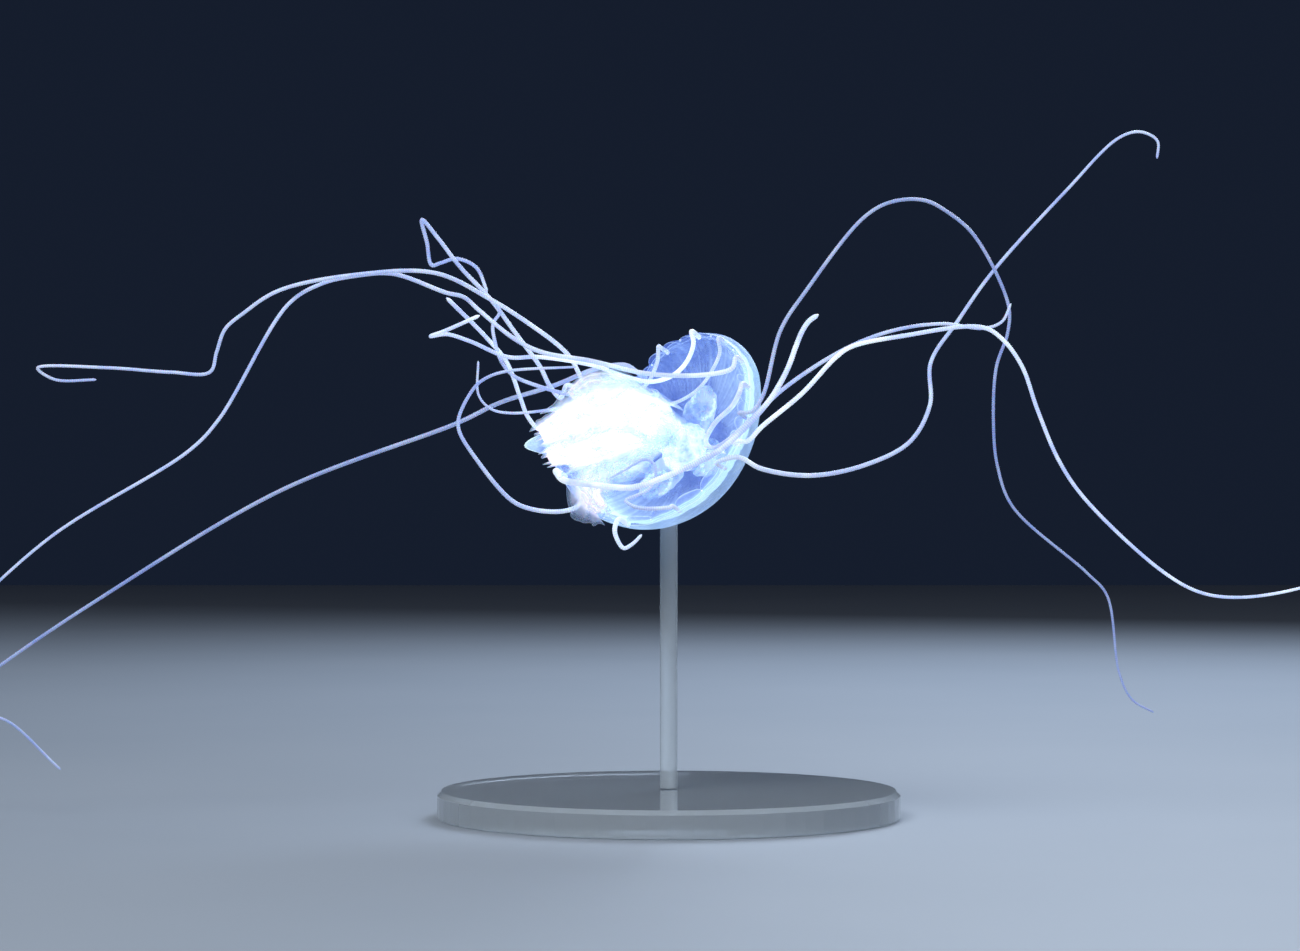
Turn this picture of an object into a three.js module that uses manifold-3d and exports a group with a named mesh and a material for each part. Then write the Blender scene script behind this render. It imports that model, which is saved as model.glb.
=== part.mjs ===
// A small sea nettle jellyfish swimming on its side, held up by a plain display stand.
// Millimetres, +Z up, -Y towards the viewer. The origin is the middle of the stand's underside.

import * as THREE from "three";
import { mergeVertices } from "three/addons/utils/BufferGeometryUtils.js";
import Module from "manifold-3d";

const wasm = await Module();
wasm.setup();

// ---- Driving dimensions -------------------------------------------------------------------

const FACE_GAP = 0.3; // between neighbouring pieces
const ROOT_GAP = 0.36; // between the bell's edge and a root cut clear of its curved wall

const BELL_RADIUS = 24;
const BELL_HEIGHT = 20; // from the margin's plane to the top of the dome
const CAVITY_DEPTH = 15.2; // from the margin's plane to the roof of the cavity
const SKIRT_DEPTH = 9; // the bell's skirt is this deep, and its crown is above it
const MARGIN_THICKNESS = 0.9;
const LAPPET_LENGTH = 2.9;
const LAPPET_TIP_THICKNESS = 0.6;
const LAPPET_CURL = 0.7; // how far a lappet's tip leans inwards
const CLEFT_DEPTH = 0.3; // what is left of the margin between two lappets
const MOUTH_TURN = 38.7; // degrees, the bell's opening away from straight at the viewer
const MOUTH_ROLL = 34; // degrees, that turn's direction, above the horizontal
const MARGIN_FOLDS = [
  { at: 68, width: 38, share: 0.29 }, // the upper right swells
  { at: 146, width: 35, share: -0.48 }, // the far side is drawn in
  { at: 212, width: 20, share: 0.18 }, // the left side spreads out
];
const MARGIN_CURL = { at: 71, width: 37, share: 0.22 }; // the swollen side's edge curls in
const STRETCHED_LAPPET = { at: 219, width: 7, reach: 5.6 };
const TENTACLE_ANGLES = [2, 16, 31, 47, 63, 80, 98, 118, 140, 163, 187, 212, 238, 265, 295, 328];

const TENTACLE_ROOT_RADIUS = 0.6;
const ROOT_SUNK = 0.9; // how deep a root starts inside the margin, before it is cut clear
const ROOT_STRAIGHT = 2.6; // a root leaves the margin straight for this far

const MANUBRIUM_BASE_RADIUS = 6.2;
const MANUBRIUM_WAIST_RADIUS = 4;
const MOUTH_RADIUS = 4.4;
const MOUTH_DEPTH = 5; // the mouth lies this far inside the margin's plane
const ARM_FROM_AXIS = 2.9; // an arm's root from the middle of the mouth
const ARM_STRAIGHT = 2.2; // an arm leaves the mouth straight for this far
const ARM_ROOT_HALF_WIDTH = 1.2;
const ARM_OPENS = { from: 0.1, to: 0.45 }; // shares of its length between which an arm widens
const ARM_TIP_NARROWING = 0.5;
const ARM_THICKNESS = { middle: 1.8, edge: 0.9 };
const ARM_TWIST = 30; // degrees over an arm's length
const ARM_RUFFLES = 6;
const ARM_RUFFLE_HEIGHT = 2.2;

const FIRST_POUCH = 5; // degrees round the axis
const POUCH_FROM_AXIS = 10.5;
const POUCH_RADIUS = 3.2;
const POUCH_TUBE_RADIUS = 0.7;
const POUCH_OPENING = 100; // degrees left open on the side away from the axis

const RIM_LIFT = 88; // the margin's middle above the ground
const ROD_FROM_RIM = { right: 4, away: 5 };
const ROD_RADIUS = 2;
const BASE_RADIUS = 52;
const BASE_HEIGHT = 6;
const BASE_CHAMFER = 1;

// ---- Directions of the bell ---------------------------------------------------------------

const radians = THREE.MathUtils.degToRad;
const turn = radians(MOUTH_TURN);
const roll = radians(MOUTH_ROLL);
const OUT = new THREE.Vector3(
  -Math.sin(turn) * Math.cos(roll), -Math.cos(turn), Math.sin(turn) * Math.sin(roll));
const ACROSS = new THREE.Vector3(
  Math.cos(turn) * Math.cos(roll), -Math.sin(turn), -Math.cos(turn) * Math.sin(roll));
const ALONG = new THREE.Vector3(Math.sin(roll), 0, Math.cos(roll));
const BELL_FRAME = new THREE.Matrix4().makeBasis(ACROSS, ALONG, OUT);

const inBell = (x, y, z) => new THREE.Vector3(x, y, z).applyMatrix4(BELL_FRAME);

// ---- Tentacles: their ways, from the middle of the margin, as [right, away, up] ------------
// One row for each of TENTACLE_ANGLES, with the names of the lengths that it is divided into,
// how stout its root is and the radius of its tip.

const FOUR = ["root", "upper", "lower", "tip"];
const THREE_LENGTHS = ["root", "middle", "tip"];
const TWO = ["root", "tip"];
const WHOLE = ["whole"];

const TENTACLES = [
  { lengths: THREE_LENGTHS, stout: 1, tip: 0.32, way: [ // right, up into a hook
    [19, -18, -7.5], [24, -19, -10], [35, -17, -11.5], [47.5, -14, -9], [57, -12, -4],
    [61.5, -10, 4], [62, -6, 13.5], [68.5, 0, 23], [77, 6, 34.5], [94, 11, 53],
    [106, 12.5, 65], [111, 13, 66.5], [115, 13.5, 64.5], [115, 14, 60.5]] },
  { lengths: FOUR, stout: 1, tip: 0.32, way: [ // right, over and down
    [21, -19, -4], [24, -19.5, -1], [33, -20, 6.5], [40, -19.5, 14], [43.5, -19, 16.5],
    [55, -17, 19], [72.5, -15, 21], [77, -14, 18.5], [81.5, -13, 12.5], [85, -12, 3],
    [90, -11, -8.5], [96, -10, -17], [113.5, -8, -33], [122, -7, -37.5], [131, -6, -38.5],
    [144, -5, -36.5], [154, -4, -33]] },
  { lengths: FOUR, stout: 0.85, tip: 0.27, way: [ // right, the tall arch
    [22, -16, 2.5], [24.5, -15.5, 6], [28.5, -13, 20.5], [34, -12, 29], [47, -8, 45.5],
    [53, -7, 49], [60.5, -6, 49.5], [66.5, -5, 46.5], [72, -4.5, 41.5], [79.5, -3, 26.5],
    [79.5, -2, 20.5], [77, -1, 12.5], [76.5, 0, -0.5], [77.5, 1, -9.5], [81, 2, -18.5],
    [98, 4, -33.5], [102.5, 5, -38.5], [105.5, 7, -56], [108.5, 8, -62], [113.5, 9, -65]] },
  { lengths: THREE_LENGTHS, stout: 1.1, tip: 0.32, way: [ // turns back inside the bell, then right
    [19.5, -15, 7], [17.9, -10.5, 3.8], [14.2, -7.5, 0.2], [12.2, -8.5, -3.4], [13.5, -15, -5.5],
    [16.5, -20, -4], [21.5, -21, 0.5], [29, -18, 7.5], [43, -12, 16.5], [53.5, -10, 20.5],
    [64.5, -9, 22], [73.5, -9, 21], [77.5, -9, 22.5], [79.5, -9, 26.5]] },
  { lengths: FOUR, stout: 1, tip: 0.32, way: [ // left, long, over the top and down
    [18, -9.5, 12.3], [14, -8.5, 11], [0, -5, 11], [-13.5, -3.5, 14], [-24.5, -3, 16],
    [-30.5, -2, 19], [-38.5, 2, 25.5], [-42, 3, 28.5], [-46, 3, 29.5], [-57.5, 0, 33.5],
    [-65.5, -2, 33], [-73.5, -4, 31], [-80.5, -5, 26.5], [-95.5, -8, 1], [-102, -9, -6],
    [-131.5, -11, -24.5], [-153, -12, -43.5]] },
  { lengths: TWO, stout: 0.8, tip: 0.27, way: [ // left, thin, behind the arms
    [15.3, -3.6, 16], [13.6, -1, 11.9], [11.2, 1, 8.5], [8, 2.2, 6], [4, 3, 4.5], [-9, 5, 5],
    [-16.5, 5, 5], [-21.5, 4, 3.5], [-32, 2, 2.5], [-36, 1, 3.5], [-38.5, 0, 6.5],
    [-38.5, -2, 14]] },
  { lengths: TWO, stout: 1, tip: 0.45, way: [ // left, folded back at its end
    [9.5, 0.5, 18], [8, 1.5, 14], [5, 2.3, 11], [0, 2, 9.5], [-7, 1, 11], [-12.5, 1, 13],
    [-25, 1, 15], [-32, 1, 15], [-40.5, 0, 18.5], [-45.5, -1, 20], [-49, -3, 19.5],
    [-46, -5, 20.5], [-38, -5.5, 24]] },
  { lengths: TWO, stout: 0.9, tip: 0.4, way: [ // left, low, up to the crossing
    [1.7, 2.4, 17.4], [1.4, 2.9, 14], [-1.5, 5, 8.5], [-6, 6, 7], [-16.5, 7, 6.5], [-26.5, 5, 9],
    [-31, 4, 11], [-33.5, 3, 14], [-35, 3.5, 18.5], [-35.5, 5, 22.5], [-34, 6, 25.5],
    [-35.5, 6, 28]] },
  { lengths: FOUR, stout: 1, tip: 0.32, way: [ // left, far back and down, turning at its end
    [-5.5, 4, 13.2], [-9, 5.3, 13.2], [-14, 7, 12], [-21.5, 10, 9], [-34.5, 14.5, 5],
    [-44, 16, 0.5], [-85, 21, -15], [-128.5, 22, -41], [-149, 20, -55], [-158, 18, -62],
    [-161.5, 16, -66], [-157.5, 14, -68], [-147.5, 12, -66.5], [-133.5, 10, -78]] },
  { lengths: FOUR, stout: 1, tip: 0.32, way: [ // far left, folded back at its end
    [-9.6, 5.4, 10.2], [-11.4, 4.3, 8.4], [-13.5, 3.5, 7.5], [-15, 3.5, 9], [-17.5, 4, 14],
    [-20, 4, 17], [-28, 4, 23], [-36, 3, 28], [-48, -4, 33.5], [-65, -7, 33], [-82.5, -6, 29.5],
    [-90.5, -5, 24.5], [-94.5, -5, 21], [-96.5, -4, 16], [-98, -4, 11.5], [-107, -3, 11.5],
    [-121, -2, 12.5], [-137, 0, 12.5], [-133.5, 2, 10], [-124.5, 4, 10]] },
  { lengths: THREE_LENGTHS, stout: 1, tip: 0.42, way: [ // left, high, curled at its end
    [-19, 12, 9], [-20.5, 9, 6], [-23, 8.5, 9], [-25, 9, 13], [-30.5, 10, 20.5], [-36, 8, 28],
    [-43, 6, 35.5], [-48, 5.5, 42], [-51.5, 5.5, 46], [-50.5, 7.5, 41], [-49.5, 8.5, 36],
    [-47.5, 9, 36.5], [-44, 9.5, 37.5], [-39.5, 9.5, 35.5], [-37, 10, 30]] },
  { lengths: TWO, stout: 0.9, tip: 0.5, way: [ // left, short, straight up
    [-25.5, 12.5, -1], [-28, 11, 2], [-29.5, 9.5, 6], [-32.5, 7, 14], [-37, 6, 19.5],
    [-46, 6, 28.5]] },
  { lengths: TWO, stout: 1.35, tip: 0.6, way: [ // across the front of the arms, stout and short
    [-21, 2, -11], [-19.5, -3.5, -12.5], [-13, -15, -13.5], [-8.5, -20, -14], [-3.5, -23, -14],
    [6, -25, -10.5], [15.5, -26, -5.5], [25, -25.5, 4], [27.7, -24.5, 8], [29.9, -23, 12.3],
    [31.5, -21.5, 16.6], [33, -20.5, 20.1], [34.5, -19.5, 22.2], [36.5, -18.5, 23.6]] },
  { lengths: TWO, stout: 1, tip: 0.27, way: [ // left, a wide loop back to the bell
    [-16.5, -1.5, -18.5], [-20, -2, -19.5], [-26.5, -3, -19], [-31, -4, -17],
    [-39, -6, -7.5], [-42.5, -7, -1.5], [-42.5, -7, 1.5], [-39, -8, 8], [-36.5, -8.5, 10],
    [-32, -9, 11.5], [-16.5, -9, 12.5]] },
  { lengths: WHOLE, stout: 1.2, tip: 0.35, way: [ // short, curled under the bell
    [-7.5, -9.5, -21.5], [-8, -10.5, -23.5], [-7.5, -10.5, -25.5], [-6, -10.5, -27.5],
    [-4, -10.5, -26.5], [-2, -10.5, -24.5]] },
  { lengths: WHOLE, stout: 0.9, tip: 0.27, way: [ // a loop inside the bell
    [4, -16, -18.5], [-3, -16.5, -18.5], [-5.5, -15, -17], [-3.5, -15, -16],
    [-0.5, -15.5, -14.5], [1, -15.5, -11.8], [0.6, -15.3, -8.9], [-1.3, -15, -8],
    [-5.6, -15, -10.2], [-8.9, -15, -12]] },
];

// The oral arms: the degrees round the mouth where each starts, its greatest half width, and its
// way from there, from the same point as the tentacles'.
const ARMS = [
  { start: 45, halfWidth: 3.4, way: [ // to the left, in front of the others
    [-6.5, -13, 3.5], [-13.5, -16, 2.5], [-19, -17, -0.5], [-24, -17, -3]] },
  { start: 135, halfWidth: 2.6, way: [ // over the top
    [-5, -6, 6.5], [-9.5, -8, 8.5], [-13.5, -9, 8.3], [-17.5, -9, 5.5]] },
  { start: 225, halfWidth: 3.2, way: [ // to the left, low
    [-5, -5.5, -1.8], [-9.5, -9, -3.8], [-14.5, -10.5, -6], [-20, -11, -7], [-22.5, -12, -8]] },
  { start: 315, halfWidth: 2.6, way: [ // down along the lower rim
    [-4, 0.8, -6.8], [-9.5, -2, -8.5], [-13, -3, -12], [-13.2, -5.5, -16], [-10.8, -8, -19]] },
];

// ---- Closed meshes and solids -------------------------------------------------------------

function closedGeometry(points, faces) {
  const geometry = new THREE.BufferGeometry();
  geometry.setAttribute("position", new THREE.Float32BufferAttribute(
    points.flatMap((point) => point.toArray()), 3));
  geometry.setIndex(faces.flat());
  if (signedVolume(points, faces) < 0) {
    geometry.setIndex(faces.map(([a, b, c]) => [a, c, b]).flat());
  }
  return geometry;
}

function signedVolume(points, faces) {
  const across = new THREE.Vector3();
  return faces.reduce((total, [a, b, c]) => (
    total + points[a].dot(across.crossVectors(points[b], points[c])) / 6), 0);
}

// A skin over rings of equal, even length. Both ends are closed by strips across the ring.
function loft(rings) {
  const around = rings[0].length;
  const faces = [];
  for (let ring = 0; ring + 1 < rings.length; ring += 1) {
    for (let side = 0; side < around; side += 1) {
      const a = ring * around + side;
      const b = ring * around + (side + 1) % around;
      faces.push([a, b, b + around], [a, b + around, a + around]);
    }
  }
  const last = (rings.length - 1) * around;
  for (let side = 0; side < around / 2 - 1; side += 1) {
    const [a, b, c, d] = [side, side + 1, around - 2 - side, around - 1 - side];
    if (b < c) faces.push([a, c, b], [last + a, last + b, last + c]);
    faces.push([a, d, c], [last + a, last + c, last + d]);
  }
  return closedGeometry(rings.flat(), faces);
}

function solidOf(geometry) {
  const bare = new THREE.BufferGeometry();
  bare.setAttribute("position", geometry.getAttribute("position"));
  bare.setIndex(geometry.index);
  const merged = mergeVertices(bare);
  return new wasm.Manifold(new wasm.Mesh({
    numProp: 3,
    vertProperties: merged.getAttribute("position").array,
    triVerts: new Uint32Array(merged.index.array),
  }));
}

// The largest closed surface of a solid, as a geometry.
function geometryOf(solid) {
  const pieces = solid.decompose().sort((one, other) => other.volume() - one.volume());
  const { vertProperties, triVerts } = pieces[0].getMesh();
  const geometry = new THREE.BufferGeometry();
  geometry.setAttribute("position", new THREE.BufferAttribute(vertProperties, 3));
  geometry.setIndex(new THREE.BufferAttribute(triVerts, 1));
  return geometry;
}

// ---- The bell, about its own axis: +Z out of the opening, z = 0 at the margin --------------

// 1 at an angle, and falling off to both sides of it, in degrees.
function bumpAt(angle, { at, width }) {
  const from = ((angle - at + 540) % 360 - 180) / width;
  return Math.exp(-from * from);
}

// The bell's radius. The folds of its margin die out up the dome, and its curl does so at once.
function foldedRadius(angle, down) {
  const fold = MARGIN_FOLDS.reduce((total, one) => total + one.share * bumpAt(angle, one), 0);
  const curl = MARGIN_CURL.share * bumpAt(angle, MARGIN_CURL);
  return BELL_RADIUS * (1 + (down / 90) ** 3 * fold - (down / 90) ** 10 * curl);
}

// A point of a dome of this height: angle round the axis and how far down from the top, both in
// degrees. At the margin it lies this far outside the bell's skin, also where that is folded,
// and clear is added square to the skin, also where that curls.
function domePoint(angle, down, height, outwards, clear = 0) {
  const skin = (at) => foldedRadius(at, down);
  const lower = foldedRadius(angle, down + 1) - foldedRadius(angle, down - 1);
  const slope = lower / (2 * radians(1) * BELL_HEIGHT * Math.sin(radians(down)));
  const slant = (skin(angle + 1) - skin(angle - 1)) / (2 * radians(1) * skin(angle));
  const offset = outwards * Math.hypot(1, slant) + clear * Math.hypot(1, slant, slope);
  const reach = (skin(angle) + offset) * Math.sin(radians(down));
  return new THREE.Vector3(
    reach * Math.cos(radians(angle)), reach * Math.sin(radians(angle)),
    -height * Math.cos(radians(down)));
}

// The angles of the columns, four on each of the 32 lappets, with each one's place on it.
const LAPPET_COLUMNS = [0.1, 0.35, 0.65, 0.9];

function marginColumns(grow) {
  const wider = 1 + 0.65 * grow;
  const columns = [];
  TENTACLE_ANGLES.forEach((angle, index) => {
    const next = TENTACLE_ANGLES[index + 1] ?? TENTACLE_ANGLES[0] + 360;
    const lappet = (next - angle) / 2;
    for (const first of [angle, angle + lappet]) {
      LAPPET_COLUMNS.forEach((place) => columns.push({
        angle: first + lappet * (0.5 + (place - 0.5) * wider), place }));
    }
  });
  return columns;
}

// The outline of a lappet's lobe: 0 in the clefts beside it and 1 at its tip.
function lappetLobe(place) {
  const [first, , , last] = LAPPET_COLUMNS;
  return Math.max(Math.sin(Math.PI * (place - first) / (last - first)), 0) ** 0.7;
}

const lappetLength = (place) => CLEFT_DEPTH + (LAPPET_LENGTH - CLEFT_DEPTH) * lappetLobe(place);

// How far a lappet's tip is drawn outwards.
function lappetStretch(angle, place) {
  return STRETCHED_LAPPET.reach * bumpAt(angle, STRETCHED_LAPPET) * lappetLobe(place);
}

// The dome and its lappets as one shell, thicker by grow on every side.
function bellShell(grow) {
  const steps = [20, 38, 54, 67, 77, 84, 90];
  const lobeSteps = [0.55, 1];
  const columns = marginColumns(grow);
  const skin = (isOuter) => {
    const height = isOuter ? BELL_HEIGHT + grow : CAVITY_DEPTH - grow;
    const outwards = isOuter ? 0 : -MARGIN_THICKNESS;
    const clear = isOuter ? grow : -grow;
    const dome = steps.map((down) => (
      columns.map(({ angle }) => domePoint(angle, down, height, outwards, clear))));
    const lobes = lobeSteps.map((out) => columns.map(({ angle, place }) => {
      const edge = domePoint(angle, 90, height, outwards, clear);
      const thinner = isOuter ? 0 : (MARGIN_THICKNESS - LAPPET_TIP_THICKNESS) * out;
      const inwards = LAPPET_CURL * out * out - thinner;
      edge.setLength(edge.length() - inwards + lappetStretch(angle, place) * out);
      edge.z = (lappetLength(place) + grow) * out;
      return edge;
    }));
    return [...dome, ...lobes];
  };
  const outer = skin(true);
  const inner = skin(false);
  const around = columns.length;
  const points = [...outer.flat(), ...inner.flat()];
  const innerStart = outer.length * around;
  const faces = [];
  const quad = (a, b, c, d) => faces.push([a, b, c], [a, c, d]);
  for (let side = 0; side < around; side += 1) {
    const next = (side + 1) % around;
    for (let ring = 0; ring + 1 < outer.length; ring += 1) {
      const [low, high] = [ring * around, (ring + 1) * around];
      quad(low + side, low + next, high + next, high + side);
      quad(innerStart + low + next, innerStart + low + side,
        innerStart + high + side, innerStart + high + next);
    }
    const edge = (outer.length - 1) * around;
    quad(edge + side, edge + next, innerStart + edge + next, innerStart + edge + side);
    faces.push([points.length, next, side], [points.length + 1, innerStart + side, innerStart + next]);
  }
  points.push(new THREE.Vector3(0, 0, -BELL_HEIGHT - grow), new THREE.Vector3(0, 0, -CAVITY_DEPTH + grow));
  return closedGeometry(points, faces);
}

const wholeBell = solidOf(bellShell(0));
const bellCrown = wholeBell.trimByPlane([0, 0, -1], SKIRT_DEPTH + FACE_GAP / 2);
const bellSkirt = wholeBell.trimByPlane([0, 0, 1], -SKIRT_DEPTH + FACE_GAP / 2);
const SKIRT_QUARTERS = [[1, 1], [-1, 1], [-1, -1], [1, -1]]; // the side of X and of Y
const skirtQuarter = ([x, y]) => (
  bellSkirt.trimByPlane([x, 0, 0], FACE_GAP / 2).trimByPlane([0, y, 0], FACE_GAP / 2));
const bellRoom = solidOf(bellShell(FACE_GAP)); // what a neighbour is cut clear of
const bellRoomPlaced = solidOf(bellShell(ROOT_GAP).applyMatrix4(BELL_FRAME));

// ---- Tubes --------------------------------------------------------------------------------

const TUBE_SIDES = 6;
const LONGEST_STEP = 5;
const SHARPEST_STEP = radians(24);
const WALK = 0.4; // the step of the walk along a curve

// Places along a curve between two lengths, close together where it bends.
function stations(curve, total, from, to) {
  const places = [from];
  let tangent = curve.getTangentAt(from / total);
  for (let at = from + WALK; at < to - WALK; at += WALK) {
    const ahead = curve.getTangentAt(at / total);
    const since = at - places[places.length - 1];
    if (since >= LONGEST_STEP || ahead.angleTo(tangent) >= SHARPEST_STEP) {
      places.push(at);
      tangent = ahead;
    }
  }
  places.push(to);
  return places;
}

function tubeRings(curve, total, from, to, radiusAt) {
  let side = new THREE.Vector3(0, 0, 1);
  return stations(curve, total, from, to).map((at) => {
    const share = Math.min(at / total, 1);
    const tangent = curve.getTangentAt(share);
    side = side.addScaledVector(tangent, -side.dot(tangent)).normalize();
    const other = new THREE.Vector3().crossVectors(tangent, side);
    const middle = curve.getPointAt(share);
    return Array.from({ length: TUBE_SIDES }, (_, corner) => {
      const angle = 2 * Math.PI * corner / TUBE_SIDES;
      return middle.clone()
        .addScaledVector(side, radiusAt(share) * Math.cos(angle))
        .addScaledVector(other, radiusAt(share) * Math.sin(angle));
    });
  });
}

function smoothCurve(points) {
  const curve = new THREE.CatmullRomCurve3(points, false, "centripetal");
  curve.arcLengthDivisions = 60 * points.length;
  return curve;
}

// ---- Materials ----------------------------------------------------------------------------

const finish = (color, roughness, opacity = 1) => () => new THREE.MeshStandardMaterial({
  color, roughness, metalness: 0, opacity, transparent: opacity < 1 });
const BELL_FINISH = finish(0x7f9fe6, 0.3, 0.5);
const ARM_FINISH = finish(0xf2f0f4, 0.5);
const POUCH_FINISH = finish(0xd9e2f8, 0.5);
const TENTACLE_FINISH = finish(0xbccdf2, 0.45);
const STAND_FINISH = finish(0xdfe6ea, 0.15, 0.6);

function piece(name, geometry, material) {
  const mesh = new THREE.Mesh(geometry, material());
  mesh.name = name;
  return mesh;
}

// ---- The animal's parts -------------------------------------------------------------------

function ring(radius, z, lobes = 0) {
  const corners = 16;
  return Array.from({ length: corners }, (_, corner) => {
    const angle = 2 * Math.PI * corner / corners;
    const reach = radius * (1 + lobes * Math.cos(4 * angle - Math.PI));
    return new THREE.Vector3(reach * Math.cos(angle), reach * Math.sin(angle), z);
  });
}

// The stomach's stalk, from the roof of the cavity to the four-cornered mouth.
function manubrium() {
  const sunk = -CAVITY_DEPTH - 1;
  const stalk = loft([
    ring(MANUBRIUM_BASE_RADIUS, sunk), ring(MANUBRIUM_BASE_RADIUS, -CAVITY_DEPTH + 1.6),
    ring(MANUBRIUM_WAIST_RADIUS, -CAVITY_DEPTH + 5.5, 0.05), ring(MOUTH_RADIUS, -MOUTH_DEPTH, 0.12)]);
  return geometryOf(solidOf(stalk).subtract(bellRoom));
}

// A horseshoe of thick tissue on the roof of the cavity.
function gastricPouch(angle) {
  const points = [];
  const steps = 8;
  const half = radians(180 - POUCH_OPENING / 2);
  const stand = POUCH_TUBE_RADIUS + 1.5 * FACE_GAP; // the roof is faceted
  for (let step = 0; step <= steps; step += 1) {
    const round = radians(angle + 180) + half * (2 * step / steps - 1);
    const x = POUCH_FROM_AXIS * Math.cos(radians(angle)) + POUCH_RADIUS * Math.cos(round);
    const y = POUCH_FROM_AXIS * Math.sin(radians(angle)) + POUCH_RADIUS * Math.sin(round);
    const share = Math.hypot(x, y) / (BELL_RADIUS - MARGIN_THICKNESS);
    const roof = new THREE.Vector3(x, y, -CAVITY_DEPTH * Math.sqrt(1 - share * share));
    const inwards = new THREE.Vector3(
      -x / BELL_RADIUS ** 2, -y / BELL_RADIUS ** 2, -roof.z / CAVITY_DEPTH ** 2).normalize();
    points.push(roof.addScaledVector(inwards, stand));
  }
  const curve = smoothCurve(points);
  const total = curve.getLength();
  const radiusAt = (share) => POUCH_TUBE_RADIUS * (0.6 + 0.4 * Math.sin(Math.PI * share));
  return geometryOf(solidOf(loft(tubeRings(curve, total, 0, total, radiusAt))).subtract(bellRoom));
}

// One frilled oral arm: a ribbon from just outside the mouth, its face turned to the viewer.
function oralArm(index) {
  const { start, halfWidth, way } = ARMS[index];
  const x = ARM_FROM_AXIS * Math.cos(radians(start));
  const y = ARM_FROM_AXIS * Math.sin(radians(start));
  const curve = smoothCurve([
    inBell(x, y, -MOUTH_DEPTH + FACE_GAP), inBell(x, y, -MOUTH_DEPTH + ARM_STRAIGHT),
    ...way.map((point) => new THREE.Vector3(...point))]);
  const rings = [];
  const steps = 30;
  const across = [-1, -0.6, 0, 0.6, 1]; // places on the ribbon, from edge to edge
  for (let step = 0; step <= steps; step += 1) {
    const share = step / steps;
    const tangent = curve.getTangentAt(share);
    const face = new THREE.Vector3(0, -1, 0).addScaledVector(tangent, tangent.y).normalize();
    face.applyAxisAngle(tangent, radians(ARM_TWIST) * (share - 0.5));
    const sideways = new THREE.Vector3().crossVectors(tangent, face);
    const opened = THREE.MathUtils.smoothstep(share, ARM_OPENS.from, ARM_OPENS.to);
    const width = THREE.MathUtils.lerp(ARM_ROOT_HALF_WIDTH, halfWidth, opened)
      * (1 - ARM_TIP_NARROWING * share ** 4);
    const at = (place, side) => {
      const wave = Math.sin(2 * Math.PI * ARM_RUFFLES * share + place * 1.3 + index);
      const rise = place * place * opened * ARM_RUFFLE_HEIGHT * (0.6 + 0.7 * wave);
      const thickness = place === 0 ? ARM_THICKNESS.middle : ARM_THICKNESS.edge;
      const halfThickness = thickness / 2 * Math.min(0.7 + share, 1);
      return curve.getPointAt(share).addScaledVector(sideways, place * width)
        .addScaledVector(face, rise + side * halfThickness);
    };
    rings.push([
      ...across.map((place) => at(place, 1)),
      ...across.toReversed().map((place) => at(place, -1))]);
  }
  return loft(rings);
}

// One tentacle, as the lengths that it is divided into.
function tentacle(index) {
  const { lengths, stout, tip, way } = TENTACLES[index];
  const edge = domePoint(TENTACLE_ANGLES[index], 90, BELL_HEIGHT, -MARGIN_THICKNESS / 2);
  const root = inBell(edge.x, edge.y, -ROOT_SUNK);
  const straight = inBell(edge.x, edge.y, ROOT_STRAIGHT);
  const curve = smoothCurve([root, straight, ...way.map((point) => new THREE.Vector3(...point))]);
  const total = curve.getLength();
  const radiusAt = (share) => {
    const rootRadius = TENTACLE_ROOT_RADIUS * stout;
    return tip + (rootRadius - tip) * (1 - share) ** 0.8;
  };
  return lengths.map((name, part) => {
    const from = part === 0 ? 0 : total * part / lengths.length + FACE_GAP / 2;
    const isTip = part === lengths.length - 1;
    const to = isTip ? total : total * (part + 1) / lengths.length - FACE_GAP / 2;
    const tube = loft(tubeRings(curve, total, from, to, radiusAt));
    const geometry = part === 0 ? geometryOf(solidOf(tube).subtract(bellRoomPlaced)) : tube;
    const number = String(index + 1).padStart(2, "0");
    return piece(`tentacle_${number}_${name}`, geometry, TENTACLE_FINISH);
  });
}

// ---- The stand ----------------------------------------------------------------------------

function standBase() {
  const profile = [
    [0, 0], [BASE_RADIUS, 0], [BASE_RADIUS, BASE_HEIGHT - BASE_CHAMFER],
    [BASE_RADIUS - BASE_CHAMFER, BASE_HEIGHT], [0, BASE_HEIGHT]];
  return new THREE.LatheGeometry(profile.map(([x, y]) => new THREE.Vector2(x, y)), 64)
    .rotateX(Math.PI / 2);
}

// The rod, cut to the dome that rests on it. Both are placed from the middle of the margin.
function standRod() {
  const foot = BASE_HEIGHT + FACE_GAP;
  const length = RIM_LIFT - foot;
  const rod = new THREE.CylinderGeometry(ROD_RADIUS, ROD_RADIUS, length, 24).rotateX(Math.PI / 2);
  rod.translate(ROD_FROM_RIM.right, ROD_FROM_RIM.away, -length / 2);
  return geometryOf(solidOf(rod).subtract(bellRoomPlaced));
}

// ---- The whole model ----------------------------------------------------------------------

const bell = new THREE.Group();
bell.applyMatrix4(BELL_FRAME);
bell.add(piece("bell_crown", geometryOf(bellCrown), BELL_FINISH));
bell.add(piece("manubrium", manubrium(), ARM_FINISH));
SKIRT_QUARTERS.forEach((sides, quarter) => {
  const pouch = gastricPouch(FIRST_POUCH + 90 * quarter);
  bell.add(piece(`bell_skirt_${quarter + 1}`, geometryOf(skirtQuarter(sides)), BELL_FINISH));
  bell.add(piece(`gastric_pouch_${quarter + 1}`, pouch, POUCH_FINISH));
});

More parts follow.
